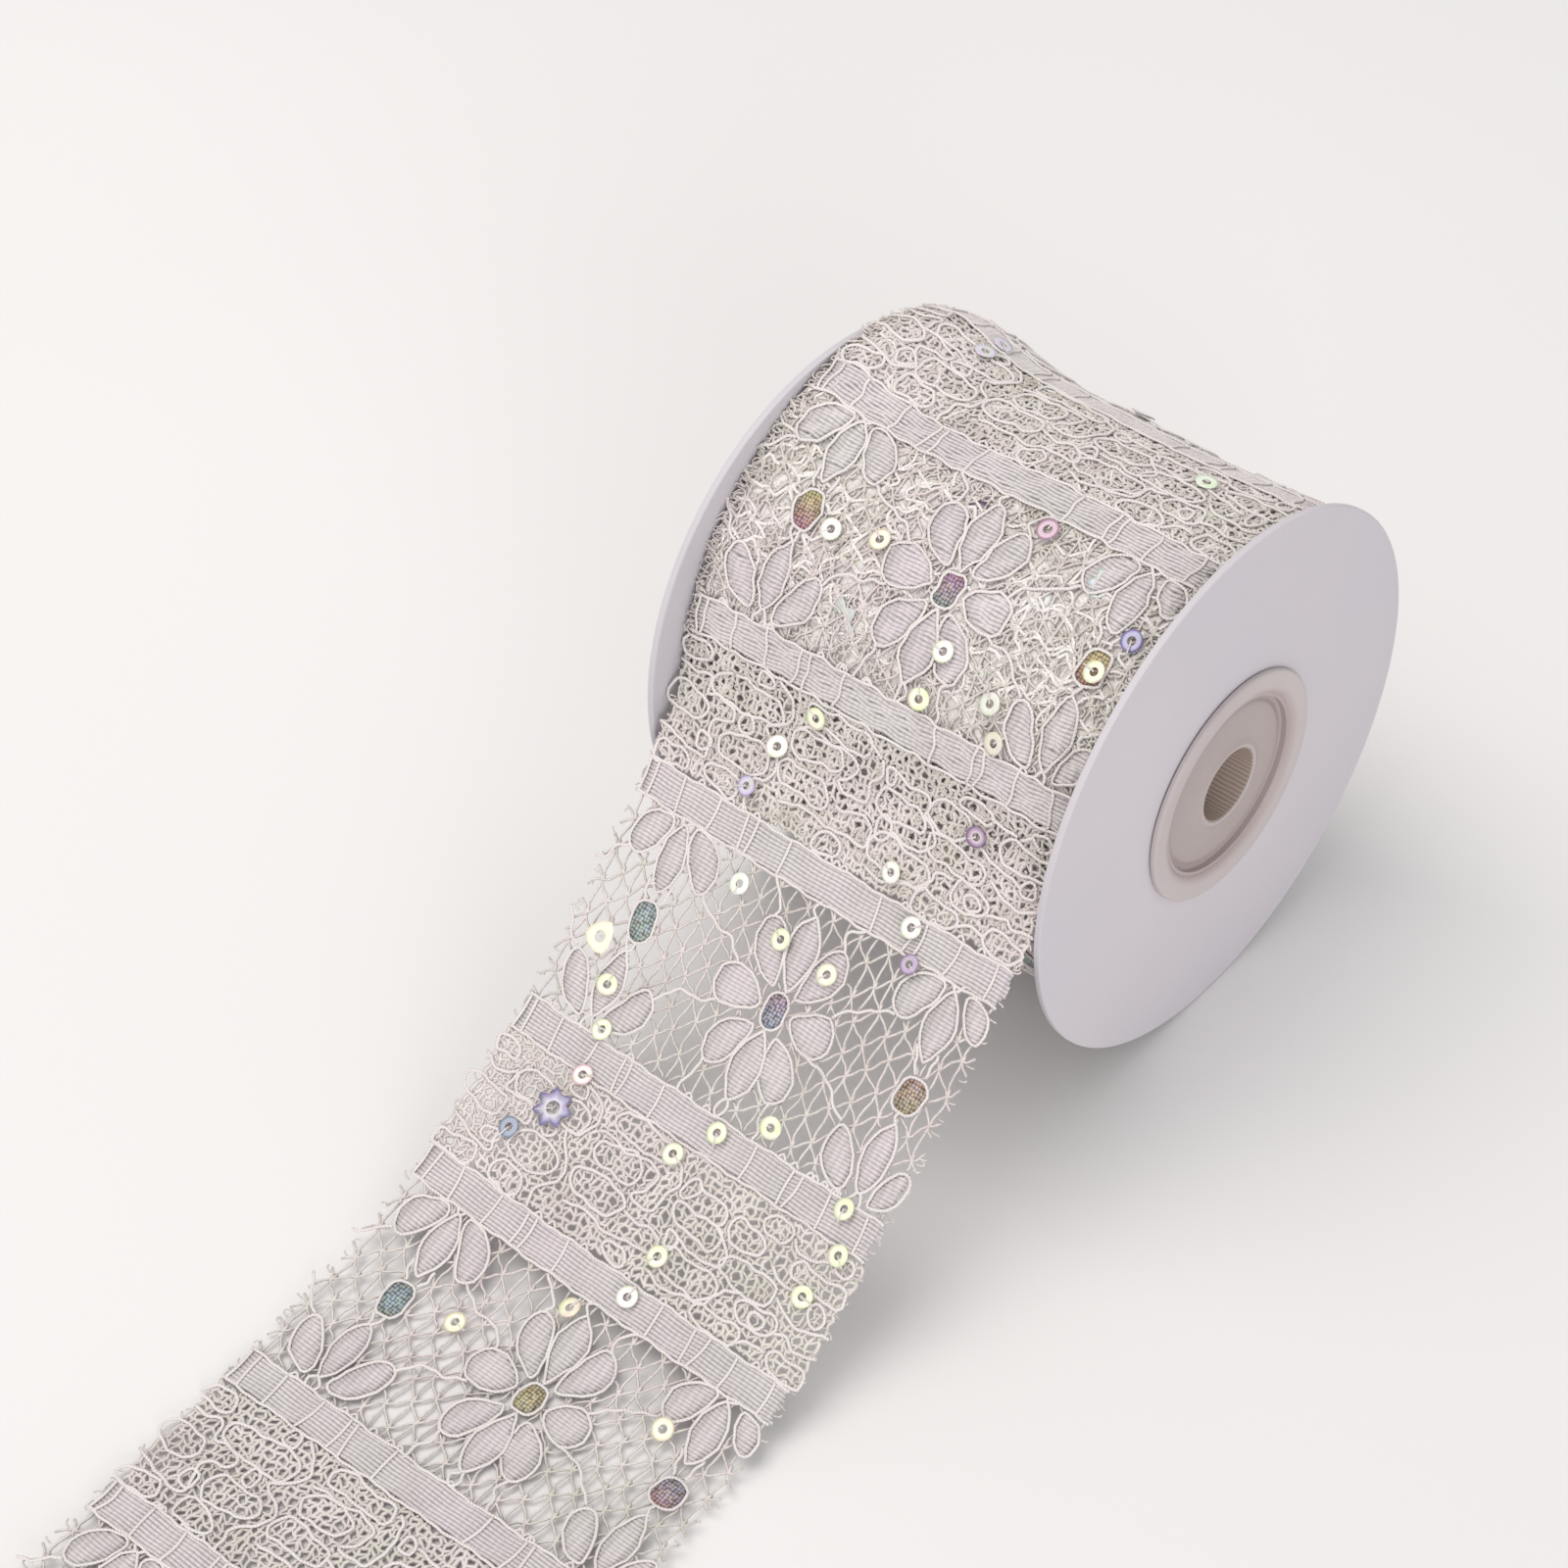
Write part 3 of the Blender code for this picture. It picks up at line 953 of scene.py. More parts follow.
@dataclass
class LaceDesign:
    """One repeat of the flat lace, s from its flower's middle: net, ribbed places and cords."""

    half_width: float = 30.0
    length: float = 57.2
    bands: tuple[tuple[float, float], ...] = ((-19.0, -14.2), (15.3, 20.3))
    flower_field: tuple[float, float] = (-14.2, 15.3)
    meander_field: tuple[float, float] = (20.3, 38.2)
    net_pitch: float = 2.2
    wales: int = 13
    fine_step: float = 0.12
    rib_pitch: float = 0.52
    close_pitch: float = 0.95
    rung_pitch: float = 1.1
    cord_width: float = 0.42
    stray_loops: int = 14
    grain: float = 0.1
    leaves: tuple[Leaf, ...] = (
        # the flower, its upright petals in front
        Leaf((0.7, -2.3), (-3.4, -9.9), 4.5, 0.48, -0.5, 1.4),
        Leaf((4.6, -2.4), (8.1, -10.3), 4.6, 0.48, 0.5, 1.4),
        Leaf((0.1, 0.1), (-7.1, 0.0), 5.6, 0.42, 0.0, 1.4),
        Leaf((5.3, 0.2), (11.8, 0.3), 5.6, 0.42, 0.0, 1.4),
        Leaf((0.9, 2.9), (-3.3, 9.9), 4.6, 0.48, 0.5, 1.35),
        Leaf((4.5, 2.9), (8.3, 10.3), 4.7, 0.48, -0.5, 1.35),
        Leaf((2.8, -2.5), (2.0, -12.4), 4.5, 0.75, 0.0, 1.25),
        Leaf((2.7, 2.9), (2.7, 12.7), 4.6, 0.75, 0.0, 1.2),
        # the buds and leaves of the left column
        Leaf((-18.8, -13.9), (-14.2, -7.2), 4.4, 0.42, -0.6, 1.25),
        Leaf((-22.6, -13.7), (-26.8, -7.7), 4.4, 0.42, 0.5, 1.2),
        Leaf((-18.2, 14.1), (-13.6, 6.9), 4.2, 0.42, 0.6, 1.2),
        Leaf((-22.0, 14.0), (-26.8, 7.2), 4.0, 0.5, -0.4, 1.15),
        Leaf((-20.2, -4.4), (-20.7, -13.6), 4.2, 0.75, 0.0, 1.0),
        Leaf((-20.1, 4.1), (-20.1, 13.4), 3.9, 0.75, 0.0, 1.0),
        # the buds and leaves of the right column
        Leaf((21.7, -13.9), (17.5, -7.7), 4.4, 0.42, 0.5, 1.2),
        Leaf((26.0, -13.8), (29.3, -9.0), 3.3, 0.5, -0.3, 1.1),
        Leaf((22.0, 14.4), (18.2, 7.7), 4.1, 0.45, -0.5, 1.15),
        Leaf((26.4, 14.5), (29.5, 8.9), 3.3, 0.5, 0.3, 1.1),
        Leaf((23.9, -4.2), (23.6, -13.4), 4.3, 0.75, 0.0, 1.0),
        Leaf((24.4, 4.3), (24.5, 13.8), 4.1, 0.75, 0.0, 1.0),
    )
    eyes: tuple[Oval, ...] = (
        Oval((2.7, 0.2), 3.5, 4.8, 0.0, 0.78, Filling.FILM),
        Oval((-20.1, -0.3), 3.9, 5.6, -9.0, 0.78, Filling.FILM),
        Oval((24.6, 0.3), 4.0, 4.8, 8.0, 0.78, Filling.FILM),
    )
    vines: tuple[tuple[tuple[float, float], ...], ...] = (
        ((-13.9, -7.3), (-12.5, -6.1), (-10.4, -5.2), (-7.6, -4.8), (-6.2, -3.6), (-5.3, -2.7)),
        ((-13.2, 7.2), (-12.4, 5.9), (-10.6, 4.4), (-8.0, 4.2), (-6.2, 3.3), (-5.2, 2.9)),
        ((10.0, -2.6), (11.3, -4.2), (13.4, -5.4), (15.6, -6.6), (17.4, -7.4)),
        ((9.4, 2.9), (12.2, 3.4), (14.4, 4.4), (16.2, 6.2), (17.9, 7.4)),
        ((-31.0, 2.8), (-29.6, 4.4), (-28.4, 6.2), (-26.9, 7.0)),
        ((-31.0, -4.2), (-29.6, -4.9), (-28.4, -6.6), (-26.9, -7.7)),
        ((-3.3, 9.8), (-3.0, 11.4), (-3.9, 13.2), (-4.3, 15.3)),
        ((8.2, 10.2), (7.5, 11.9), (8.4, 13.6), (8.6, 15.3)),
        ((-3.4, -9.8), (-3.0, -11.3), (-4.4, -12.9), (-5.9, -14.2)),
        ((8.0, -10.2), (6.9, -11.6), (7.4, -13.0), (9.2, -14.3)),
        ((1.9, -12.3), (1.2, -13.3), (1.7, -14.2)),
        ((2.7, 12.6), (1.9, 13.8), (2.5, 15.2), (3.4, 14.1), (2.9, 12.6)),
        ((-20.8, -13.4), (-21.5, -14.2)), ((-20.6, -13.4), (-19.8, -14.3)),
        ((-22.0, -5.9), (-21.7, -4.3), (-21.1, -3.2)), ((-18.5, -5.9), (-18.6, -4.4), (-19.2, -3.2)),
        ((-20.9, 2.4), (-20.6, 3.4), (-20.2, 4.2)), ((-19.3, 2.4), (-19.6, 3.4), (-20.0, 4.2)),
        ((-20.3, 13.3), (-21.0, 14.4), (-20.9, 15.3)), ((-19.9, 13.3), (-19.2, 14.4), (-19.3, 15.3)),
        ((23.7, -13.3), (22.9, -14.2)), ((23.8, -13.3), (24.7, -14.3)),
        ((22.3, -5.6), (22.8, -4.0), (23.6, -2.4)), ((25.5, -5.8), (25.4, -4.2), (25.2, -2.5)),
        ((24.5, 2.6), (24.2, 3.5), (24.4, 4.4)),
        ((24.3, 13.7), (23.8, 14.6), (23.9, 15.3)), ((24.6, 13.7), (25.4, 14.6), (25.3, 15.3)),
    )
    dividers: tuple[float, ...] = (-29.4, -28.1, -23.4, -17.6, -12.7, -11.3, -5.8, 9.4, 15.0, 16.6,
                                   21.4, 27.4)
    loops: tuple[Loop, ...] = (
        Loop((-27.8, 22.5), 5.0, 2.3, 2.0), Loop((-18.6, 25.1), 11.6, 3.3, -2.0),
        Loop((-16.6, 21.9), 2.4, 1.9), Loop((-17.3, 28.4), 2.3, 2.0), Loop((-23.3, 33.0), 2.3, 2.0),
        Loop((-27.6, 29.4), 6.6, 3.0, 3.0), Loop((-17.2, 31.8), 8.2, 3.5, -4.0),
        Loop((-18.3, 36.2), 5.6, 2.7, 8.0), Loop((-27.2, 36.7), 6.2, 2.3, -3.0),
        Loop((-4.2, 22.4), 10.4, 2.6, 2.0), Loop((-6.4, 26.8), 7.4, 3.0, -3.0), Loop((4.6, 24.4), 1.9, 2.4),
        Loop((5.4, 31.1), 1.9, 2.3), Loop((-0.2, 36.6), 4.0, 2.2, 3.0), Loop((-6.6, 31.3), 8.6, 3.0, 2.0),
        Loop((7.6, 28.0), 8.0, 2.8, 3.0), Loop((14.2, 25.8), 6.4, 3.1, 0.0),
        Loop((17.0, 29.9), 8.6, 2.9, 3.0), Loop((17.4, 22.5), 4.8, 2.1, -2.0), Loop((27.3, 22.1), 2.4, 2.2),
        Loop((27.4, 28.8), 2.5, 2.3), Loop((20.4, 33.3), 5.8, 2.8, -4.0), Loop((20.9, 33.3), 1.9, 1.7),
        Loop((16.4, 36.7), 6.6, 2.4, 0.0), Loop((27.1, 36.5), 5.8, 2.5, 4.0),
        Loop((9.8, 33.7), 9.6, 3.3, 3.0), Loop((25.7, 25.5), 8.2, 2.6, 2.0),
    )
    snakes: tuple[tuple[tuple[float, float], ...], ...] = (
        ((-30.2, 24.8), (-27.4, 25.6), (-25.2, 25.0), (-24.9, 27.3), (-22.6, 27.2), (-20.3, 27.8),
         (-20.0, 29.3), (-22.4, 29.8), (-23.3, 31.2), (-22.0, 33.6), (-22.6, 34.9), (-26.0, 34.6),
         (-30.2, 33.6)),
        ((-14.9, 21.0), (-12.6, 22.2), (-11.6, 24.2), (-12.7, 26.4), (-14.6, 27.6), (-13.4, 29.4),
         (-11.7, 30.6), (-11.9, 33.0), (-13.9, 34.4), (-14.3, 36.4), (-13.6, 38.1)),
        ((-10.4, 24.9), (-8.0, 24.5), (-5.6, 24.9), (-2.8, 24.4), (-0.6, 25.2), (-1.0, 27.6), (-2.4, 29.0),
         (-0.6, 29.6), (1.8, 29.3), (2.4, 26.8), (3.0, 25.0), (2.0, 22.8), (0.6, 21.8)),
        ((5.4, 23.4), (7.4, 24.2), (10.2, 24.4), (11.0, 25.6), (10.4, 26.4), (12.6, 28.0), (13.2, 29.9),
         (11.8, 31.2), (8.6, 31.0), (6.6, 30.6)),
        ((-2.0, 31.2), (0.4, 31.8), (2.6, 31.2), (4.4, 32.2), (4.0, 34.0), (1.4, 34.2), (-2.4, 34.6),
         (-6.6, 34.2), (-10.2, 34.8)),
        ((5.4, 36.1), (7.6, 36.6), (10.6, 36.0), (13.0, 35.4), (14.6, 33.8), (15.2, 32.4), (17.6, 32.0)),
        ((19.9, 22.6), (22.0, 23.4), (24.6, 22.8), (26.1, 22.4)),
        ((18.6, 26.6), (21.0, 27.6), (23.4, 27.8), (26.2, 28.6)),
        ((22.2, 29.6), (24.4, 30.8), (27.4, 31.2), (30.2, 30.6)),
        ((23.4, 33.6), (25.6, 33.0), (27.6, 33.8), (30.2, 33.2)),
        ((20.0, 37.0), (21.8, 36.0), (24.2, 36.2)),
    )

    def __post_init__(self) -> None:
        """Draw the map of what fills each place, one repeat long."""
        self.wide = np.arange(-self.half_width - 1.0, self.half_width + 1.0, self.grain)
        self.high = np.arange(self.bands[0][0] - 1.0, self.bands[0][0] + self.length + 1.0, self.grain)
        self.map = np.zeros((len(self.wide), len(self.high)), np.int8)
        for low, top in self.bands:
            self.map[:, (self.high > low) & (self.high < top)] = Filling.RIBBED.value
        self.owner = np.zeros(self.map.shape, np.int8)
        for number, motif in enumerate((*self.leaves, *self.eyes)):
            self.fill(motif.outline(40), motif.filling, number + 1)

    def fill(self, outline: np.ndarray, filling: Filling, number: int) -> None:
        """Mark the inside of an outline on the map.

        Args:
            outline: the closed outline.
            filling: what it is filled with.
            number: which motif it belongs to, counted from one.
        """
        low, top = outline.min(0), outline.max(0)
        i = np.flatnonzero((self.wide >= low[0]) & (self.wide <= top[0]))
        j = np.flatnonzero((self.high >= low[1]) & (self.high <= top[1]))
        x, y = np.meshgrid(self.wide[i], self.high[j], indexing="ij")
        inside = np.zeros(x.shape, bool)
        for (ax, ay), (bx, by) in zip(outline, np.roll(outline, -1, axis=0)):
            crosses = (ay > y) != (by > y)
            slope = (bx - ax) / (by - ay) if by != ay else 0.0
            inside ^= crosses & (x < ax + (y - ay) * slope)
        for sheet, value in ((self.map, filling.value), (self.owner, number)):
            patch = sheet[np.ix_(i, j)]
            patch[inside] = value
            sheet[np.ix_(i, j)] = patch

    def at(self, points: np.ndarray, owners: bool = False) -> np.ndarray:
        """What fills the lace at some points, or the number of the motif in front there."""
        i = np.clip(((points[:, 0] - self.wide[0]) / self.grain).round().astype(int), 0, len(self.wide) - 1)
        j = np.clip(((points[:, 1] - self.high[0]) / self.grain).round().astype(int), 0, len(self.high) - 1)
        return (self.owner if owners else self.map)[i, j]

    def stray(self, points: np.ndarray, seed: float, size: float) -> np.ndarray:
        """Push points about as an uneven hand-held net lies, the same for all that pass a place."""
        u, s = points[:, 0], points[:, 1]
        du = np.sin(0.9 * u + 0.5 * s + seed) + 0.7 * np.sin(0.37 * u - 0.83 * s + 2.1 * seed)
        ds = np.sin(0.6 * u - 0.9 * s + 1.7 * seed) + 0.7 * np.sin(1.1 * u + 0.3 * s + 0.6 * seed)
        return points + size * np.stack([du, ds], 1)

    def crinkle(self, points: np.ndarray, seed: float, size: float = 0.1) -> np.ndarray:
        """Small kinks that a sewn-down cord has every couple of millimetres."""
        u, s = points[:, 0], points[:, 1]
        du, ds = np.sin(2.7 * s + 0.8 * u + seed), np.sin(2.5 * u - 0.7 * s + 1.9 * seed)
        return points + size * np.stack([du, ds], 1)

    def edge(self, s: np.ndarray, seed: float) -> np.ndarray:
        """How far out the trim reaches at each s: little scallops of uneven depth."""
        short, long = 0.3 * np.sin(1.9 * s + seed), 0.25 * np.sin(0.77 * s + 2.0 * seed)
        return self.half_width - 0.35 + short + long

    def open_net(self, seed: float) -> list[Thread]:
        """Wales and crossing diagonals of the net behind the flower.

        Args:
            seed: shifts the net's unevenness from repeat to repeat.

        Returns:
            The threads, left out where a motif is filled.
        """
        low, high = self.flower_field
        mesh_length = 2 * self.net_pitch
        s = np.arange(low, high + 0.01, self.fine_step)
        lines = []
        for i in range(-self.wales, self.wales + 1):
            u = i * self.net_pitch
            sway = 0.16 * np.sin(2 * math.pi * s / mesh_length + math.pi * (i % 2))
            lines.append(np.stack([u + sway, s], 1))
        for k in range(-12, 20):
            for sign in (1.0, -1.0):
                u = np.arange(-self.half_width, self.half_width, self.fine_step)
                bow = 0.22 * np.sin(2 * math.pi * u / self.net_pitch)
                line = np.stack([u, low + mesh_length * k - 12.0 + sign * u + bow], 1)
                lines.append(line[(line[:, 1] > low) & (line[:, 1] < high)])
        threads = []
        for line in lines:
            if len(line) < 5:
                continue
            keep = self.at(line) == Filling.NET.value
            for part in runs(keep, 6):
                points = self.stray(thinned(line[part], 1.1), seed, 0.2)
                threads.append(Thread(points, -0.12, 0.42, 0.26))
        return threads

    def knots(self, seed: float) -> list[Thread]:
        """Small thickenings where the net's threads cross."""
        threads = []
        low, high = self.flower_field
        for i in range(-self.wales, self.wales + 1):
            u = i * self.net_pitch
            for k in range(-4, 5):
                s = 2 * self.net_pitch * k + (self.net_pitch if i % 2 else 0.0) - 0.2
                place = np.array([[u, s - 0.5], [u + 0.1, s + 0.5]])
                if low + 0.5 < s < high - 0.5 and not self.at(place).any():
                    threads.append(Thread(self.stray(place, seed, 0.2), -0.1, 0.7, 0.3))
        return threads

    def close_net(self, seed: float) -> list[Thread]:
        """Tight net of the meander fields: wales a millimetre apart, tied by short rungs."""
        low, high = self.meander_field
        s = np.arange(low, high + 0.01, 0.55)
        count = int(self.half_width / self.close_pitch)
        threads = []
        for i in range(-count, count + 1):
            u = i * self.close_pitch + 0.2 * np.sin(math.pi * s / self.rung_pitch + math.pi * (i % 2))
            points = self.stray(np.stack([u, s], 1), seed, 0.22)
            points[:, 0] += 0.12 * np.sin(5.1 * s + 1.7 * i)
            threads.append(Thread(points, -0.14, 0.68 + 0.1 * math.sin(7.3 * i + seed), 0.2))
        rungs = np.arange(-count, count + 1) * self.close_pitch
        wale = np.arange(len(rungs))
        for k in range(int((high - low) / self.rung_pitch)):
            row = low + 0.55 + self.rung_pitch * k + 0.24 * np.where(wale % 2, 1.0, -1.0)
            row = row + 0.16 * np.sin(2.3 * wale + 1.9 * k)
            points = self.stray(np.stack([rungs, row], 1), seed, 0.22)
            threads.append(Thread(points, -0.18, 0.64 + 0.12 * math.sin(5.9 * k + seed), 0.2))
        return threads

    def ties(self, seed: float) -> list[Thread]:
        """Net threads that run on under the ribbed bands and show as dots between the rows."""
        threads = []
        for low, high in self.bands:
            for u in np.arange(-29.4, 29.5, self.close_pitch):
                points = np.array([[u, low], [u + 0.1, (low + high) / 2], [u, high]])
                threads.append(Thread(self.stray(points, seed, 0.08), -0.16, 0.22, 0.2))
        return threads

    def ribs(self, seed: float) -> list[Thread]:
        """Rows of flat yarn across the bands, petals, buds and leaves.

        Args:
            seed: shifts the rows' slight waviness.

        Returns:
            The rows, cut to the places they fill.
        """
        low, high = self.bands[0][0], self.bands[1][1]
        u = np.arange(-self.half_width, self.half_width, self.fine_step)
        threads = []
        for k in range(int((high - low) / self.rib_pitch)):
            s = low + 0.3 + self.rib_pitch * k
            line = np.stack([u, np.full(len(u), s)], 1)
            reach = self.edge(line[:, 1], seed)
            keep = (self.at(line) == Filling.RIBBED.value) & (np.abs(u) < reach)
            wide = 0.84 if self.flower_field[0] < s < self.flower_field[1] else 0.73
            for part in runs(keep, 5):
                points = thinned(line[part], 2.1)
                sway = 0.09 * np.sin(0.8 * points[:, 0] + 0.3 * k + seed)
                points = points + np.array([0.0, 1.0]) * sway[:, None]
                threads.append(Thread(points, -0.02, wide, 0.15, start=float(points[0, 0])))
        return threads

    def cords(self, seed: float, dice: np.random.Generator) -> list[Thread]:
        """Outlines, vines, band edges, dividers and the meandering loops.

        Args:
            seed: shifts their wobble.
            dice: seeded chance for widths and small shifts.

        Returns:
            The cords.
        """
        threads = []
        for number, motif in enumerate((*self.leaves, *self.eyes)):
            size = np.linalg.norm(np.ptp(motif.outline(12), axis=0))
            line, wide = motif.outline(max(16, round(size * 2.2))), dice.uniform(0.37, 0.44)
            front = self.at(line, owners=True)
            free = front <= number + 1
            laid = self.crinkle(self.stray(line, seed, 0.1), seed, 0.07)
            if free.all():
                threads.append(Thread(laid, 0.14, wide, 0.38, 5, True))
                continue
            first = int(np.flatnonzero(~free)[0])
            laid, free = np.roll(laid, -first, axis=0), np.roll(free, -first)
            threads += [Thread(laid[part], 0.14, wide, 0.38, 5) for part in runs(free, 3)]
        for vine in self.vines:
            line = self.crinkle(self.stray(curve_through(vine, 4), seed, 0.12), seed, 0.13)
            threads.append(Thread(line, 0.14, self.cord_width, 0.36, 5))
        for low, high in self.bands:
            for s in (low, high):
                u = np.arange(-self.half_width + 0.2, self.half_width, 0.75)
                line = np.stack([u, s + 0.12 * np.sin(0.8 * u + seed) + 0.07 * np.sin(2.3 * u + 2 * seed)], 1)
                threads.append(Thread(line, 0.12, self.cord_width, 0.34, 5))
            for u in self.dividers:
                swing = dice.normal(0.0, 0.3, 2)
                line = curve_through([(u + swing[0], low), (u + swing[0] * 0.4 + 0.15, (low + high) / 2),
                                      (u + swing[1], high)], 4)
                threads.append(Thread(line, 0.15, self.cord_width, 0.34, 5))
            for _ in range(self.stray_loops):
                u = dice.uniform(-29.0, 29.0)
                line = curve_through([(u, low - 0.1), (u + 0.5, low - 0.75), (u + 1.2, low - 0.15)], 3)
                threads.append(Thread(line, 0.1, 0.4, 0.32, 4))
        for loop in self.loops:
            shifted = Loop((loop.middle[0] + dice.normal(0, 0.25), loop.middle[1] + dice.normal(0, 0.1)),
                           loop.across + dice.normal(0, 0.3), loop.along * 1.12 + dice.normal(0, 0.12),
                           loop.tilt + dice.normal(0, 2.0))
            line = shifted.outline(max(12, round((loop.across + loop.along) * 2.3)))
            line = self.crinkle(self.stray(line, seed + loop.middle[0], 0.22), seed)
            threads.append(Thread(line, 0.13, dice.uniform(0.42, 0.5), 0.38, 5, True))
        for snake in self.snakes:
            moved = [(u + dice.normal(0, 0.25), s + dice.normal(0, 0.15)) for u, s in snake]
            line = self.crinkle(self.stray(curve_through(moved, 4), seed, 0.15), seed)
            threads.append(Thread(line, 0.12, 0.46, 0.36, 5))
        return threads

    def curls(self, dice: np.random.Generator, density: float = 0.74) -> list[Thread]:
        """Slack loops of the nets, pushed up between the threads by the winding.

        Args:
            dice: seeded chance.
            density: how many are tried on a square millimetre.

        Returns:
            Short bent ends where the lace is net.
        """
        threads = []
        low = self.bands[0][0]
        for _ in range(int(density * 2 * self.half_width * self.length)):
            spot = np.array([[dice.uniform(-29.6, 29.6), dice.uniform(low, low + self.length)]])
            radius, sweep = dice.uniform(0.35, 0.85), dice.uniform(1.4, 3.5)
            start = dice.uniform(0.0, 2 * math.pi)
            turn = start + np.linspace(0.0, sweep, 5)
            line = spot + radius * np.stack([np.cos(turn), dice.uniform(0.6, 1.3) * np.sin(turn)], 1)
            close = self.meander_field[0] < spot[0, 1] < self.meander_field[1]
            if self.at(spot)[0] == Filling.NET.value:
                depth = dice.uniform(-0.26, 0.0) if close else dice.uniform(-0.3, -0.02)
                threads.append(Thread(line, depth, 0.47, 0.22))
        return threads

    def fringe(self, dice: np.random.Generator, fray: float) -> list[Thread]:
        """Cut picots and stray ends along both edges.

        Args:
            dice: seeded chance.
            fray: how thick the fringe is, 1 for the trim as it comes off the roll.

        Returns:
            The short ends and loops.
        """
        threads = []
        low = self.bands[0][0]
        top = 0.25 + 0.5 * max(fray - 1.0, 0.0)
        for side in (-1.0, 1.0):
            s = low
            while s < low + self.length:
                out, hook = dice.uniform(0.1, 0.6 + 0.4 * fray), dice.uniform(-0.9, 0.9)
                edge = side * (self.half_width - 0.7)
                line = curve_through([(edge, s), (edge + side * (0.5 + out * 0.6), s + hook * 0.4),
                                      (edge + side * (0.5 + out), s + hook)], 3)
                threads.append(Thread(line, dice.uniform(-0.1 - 0.25 * fray, top), 0.26, 0.2))
                if dice.uniform() < 0.35 * fray:
                    w = dice.uniform(0.5, 0.9)
                    loop = curve_through([(edge, s), (edge + side * 0.9, s + w * 0.3),
                                          (edge + side * 0.9, s + w), (edge, s + w * 1.3)], 3)
                    threads.append(Thread(loop, dice.uniform(-0.2, 0.2), 0.28, 0.22))
                s += dice.uniform(0.6, 1.6) / fray
        return threads


@dataclass
class LaceLength:
    """A length of the trim cut from the endless design and laid on its course."""

    design: LaceDesign
    course: LaceCourse
    low: float
    high: float
    flowers: tuple[float, ...] = (0.0, 57.4, 113.3, 169.0)
    last_repeat: float = 56.0
    drift: float = 0.012
    phase: float = 0.0
    fray: float = 1.0
    crimp: float = 0.0

    def middle_of(self, number: int) -> float:
        """Place of a flower's middle along the trim, the first three where the tail lies slack."""
        if self.phase:
            return self.phase + number * self.design.length
        if number < 0:
            return number * self.design.length
        if number < len(self.flowers):
            return self.flowers[number]
        return self.flowers[-1] + (number + 1 - len(self.flowers)) * self.last_repeat

    def to_course(self, points: np.ndarray, number: int) -> np.ndarray:
        """Stretch a repeat's points to where the trim has them.

        Args:
            points: rows of u, s of the repeat.
            number: which repeat it is, counted from the flower that faces the camera.

        Returns:
            Rows of u, v.
        """
        before, here, after = (self.middle_of(number + k) for k in (-1, 0, 1))
        s, length = points[:, 1], self.design.length
        v = here + np.where(s < 0, s * (here - before) / length, s * (after - here) / length)
        u = points[:, 0] + self.drift * np.maximum(v, 0.0)
        curl = self.crimp * np.sin(np.stack([1.7 * v + 0.9 * u, 1.5 * u - 1.3 * v + 1.0], 1))
        return np.stack([u, v], 1) + curl

    def numbers(self) -> list[int]:
        """The repeats that this length touches, each from 22 mm before its flower to 42 mm past it."""
        return [n for n in range(-16, 6)
                if self.middle_of(n) - 22.0 < self.high and self.middle_of(n) + 42.0 > self.low]

    def woven(self, name: str, material: bpy.types.Material, salt: int,
              make: Callable[[float, np.random.Generator], list[Thread]]) -> bpy.types.Object:
        """Make one kind of thread over the whole length, as one piece.

        Args:
            name: the piece's name.
            material: its finish.
            salt: keeps this kind's chance apart from the others'.
            make: gives a repeat's threads from a seed and a seeded chance.

        Returns:
            The piece.
        """
        mesh = ThreadMesh()
        for number in self.numbers():
            dice = np.random.default_rng(1000 * salt + number + 50)
            for thread in make(1.37 * number, dice):
                placed = thread.moved(lambda points: self.to_course(points, number))
                for part in placed.cut(self.low, self.high):
                    mesh.add(part)
        return mesh.build(name, self.course, material)

    def ribs(self, name: str, material: bpy.types.Material) -> bpy.types.Object:
        """The ribbed rows."""
        return self.woven(name, material, 1, lambda seed, dice: self.design.ribs(seed))

    def net(self, name: str, material: bpy.types.Material) -> bpy.types.Object:
        """The knitted net with its fringe."""
        design = self.design
        return self.woven(name, material, 2, lambda seed, dice: [
            *design.open_net(seed), *design.knots(seed), *design.close_net(seed), *design.ties(seed),
            *design.fringe(dice, self.fray)])

    def cords(self, name: str, material: bpy.types.Material) -> bpy.types.Object:
        """The outline cords."""
        return self.woven(name, material, 3, self.design.cords)

    def curls(self, name: str, material: bpy.types.Material) -> bpy.types.Object:
        """The curls of slack net."""
        return self.woven(name, material, 4, lambda seed, dice: self.design.curls(dice))


# Sequins and film


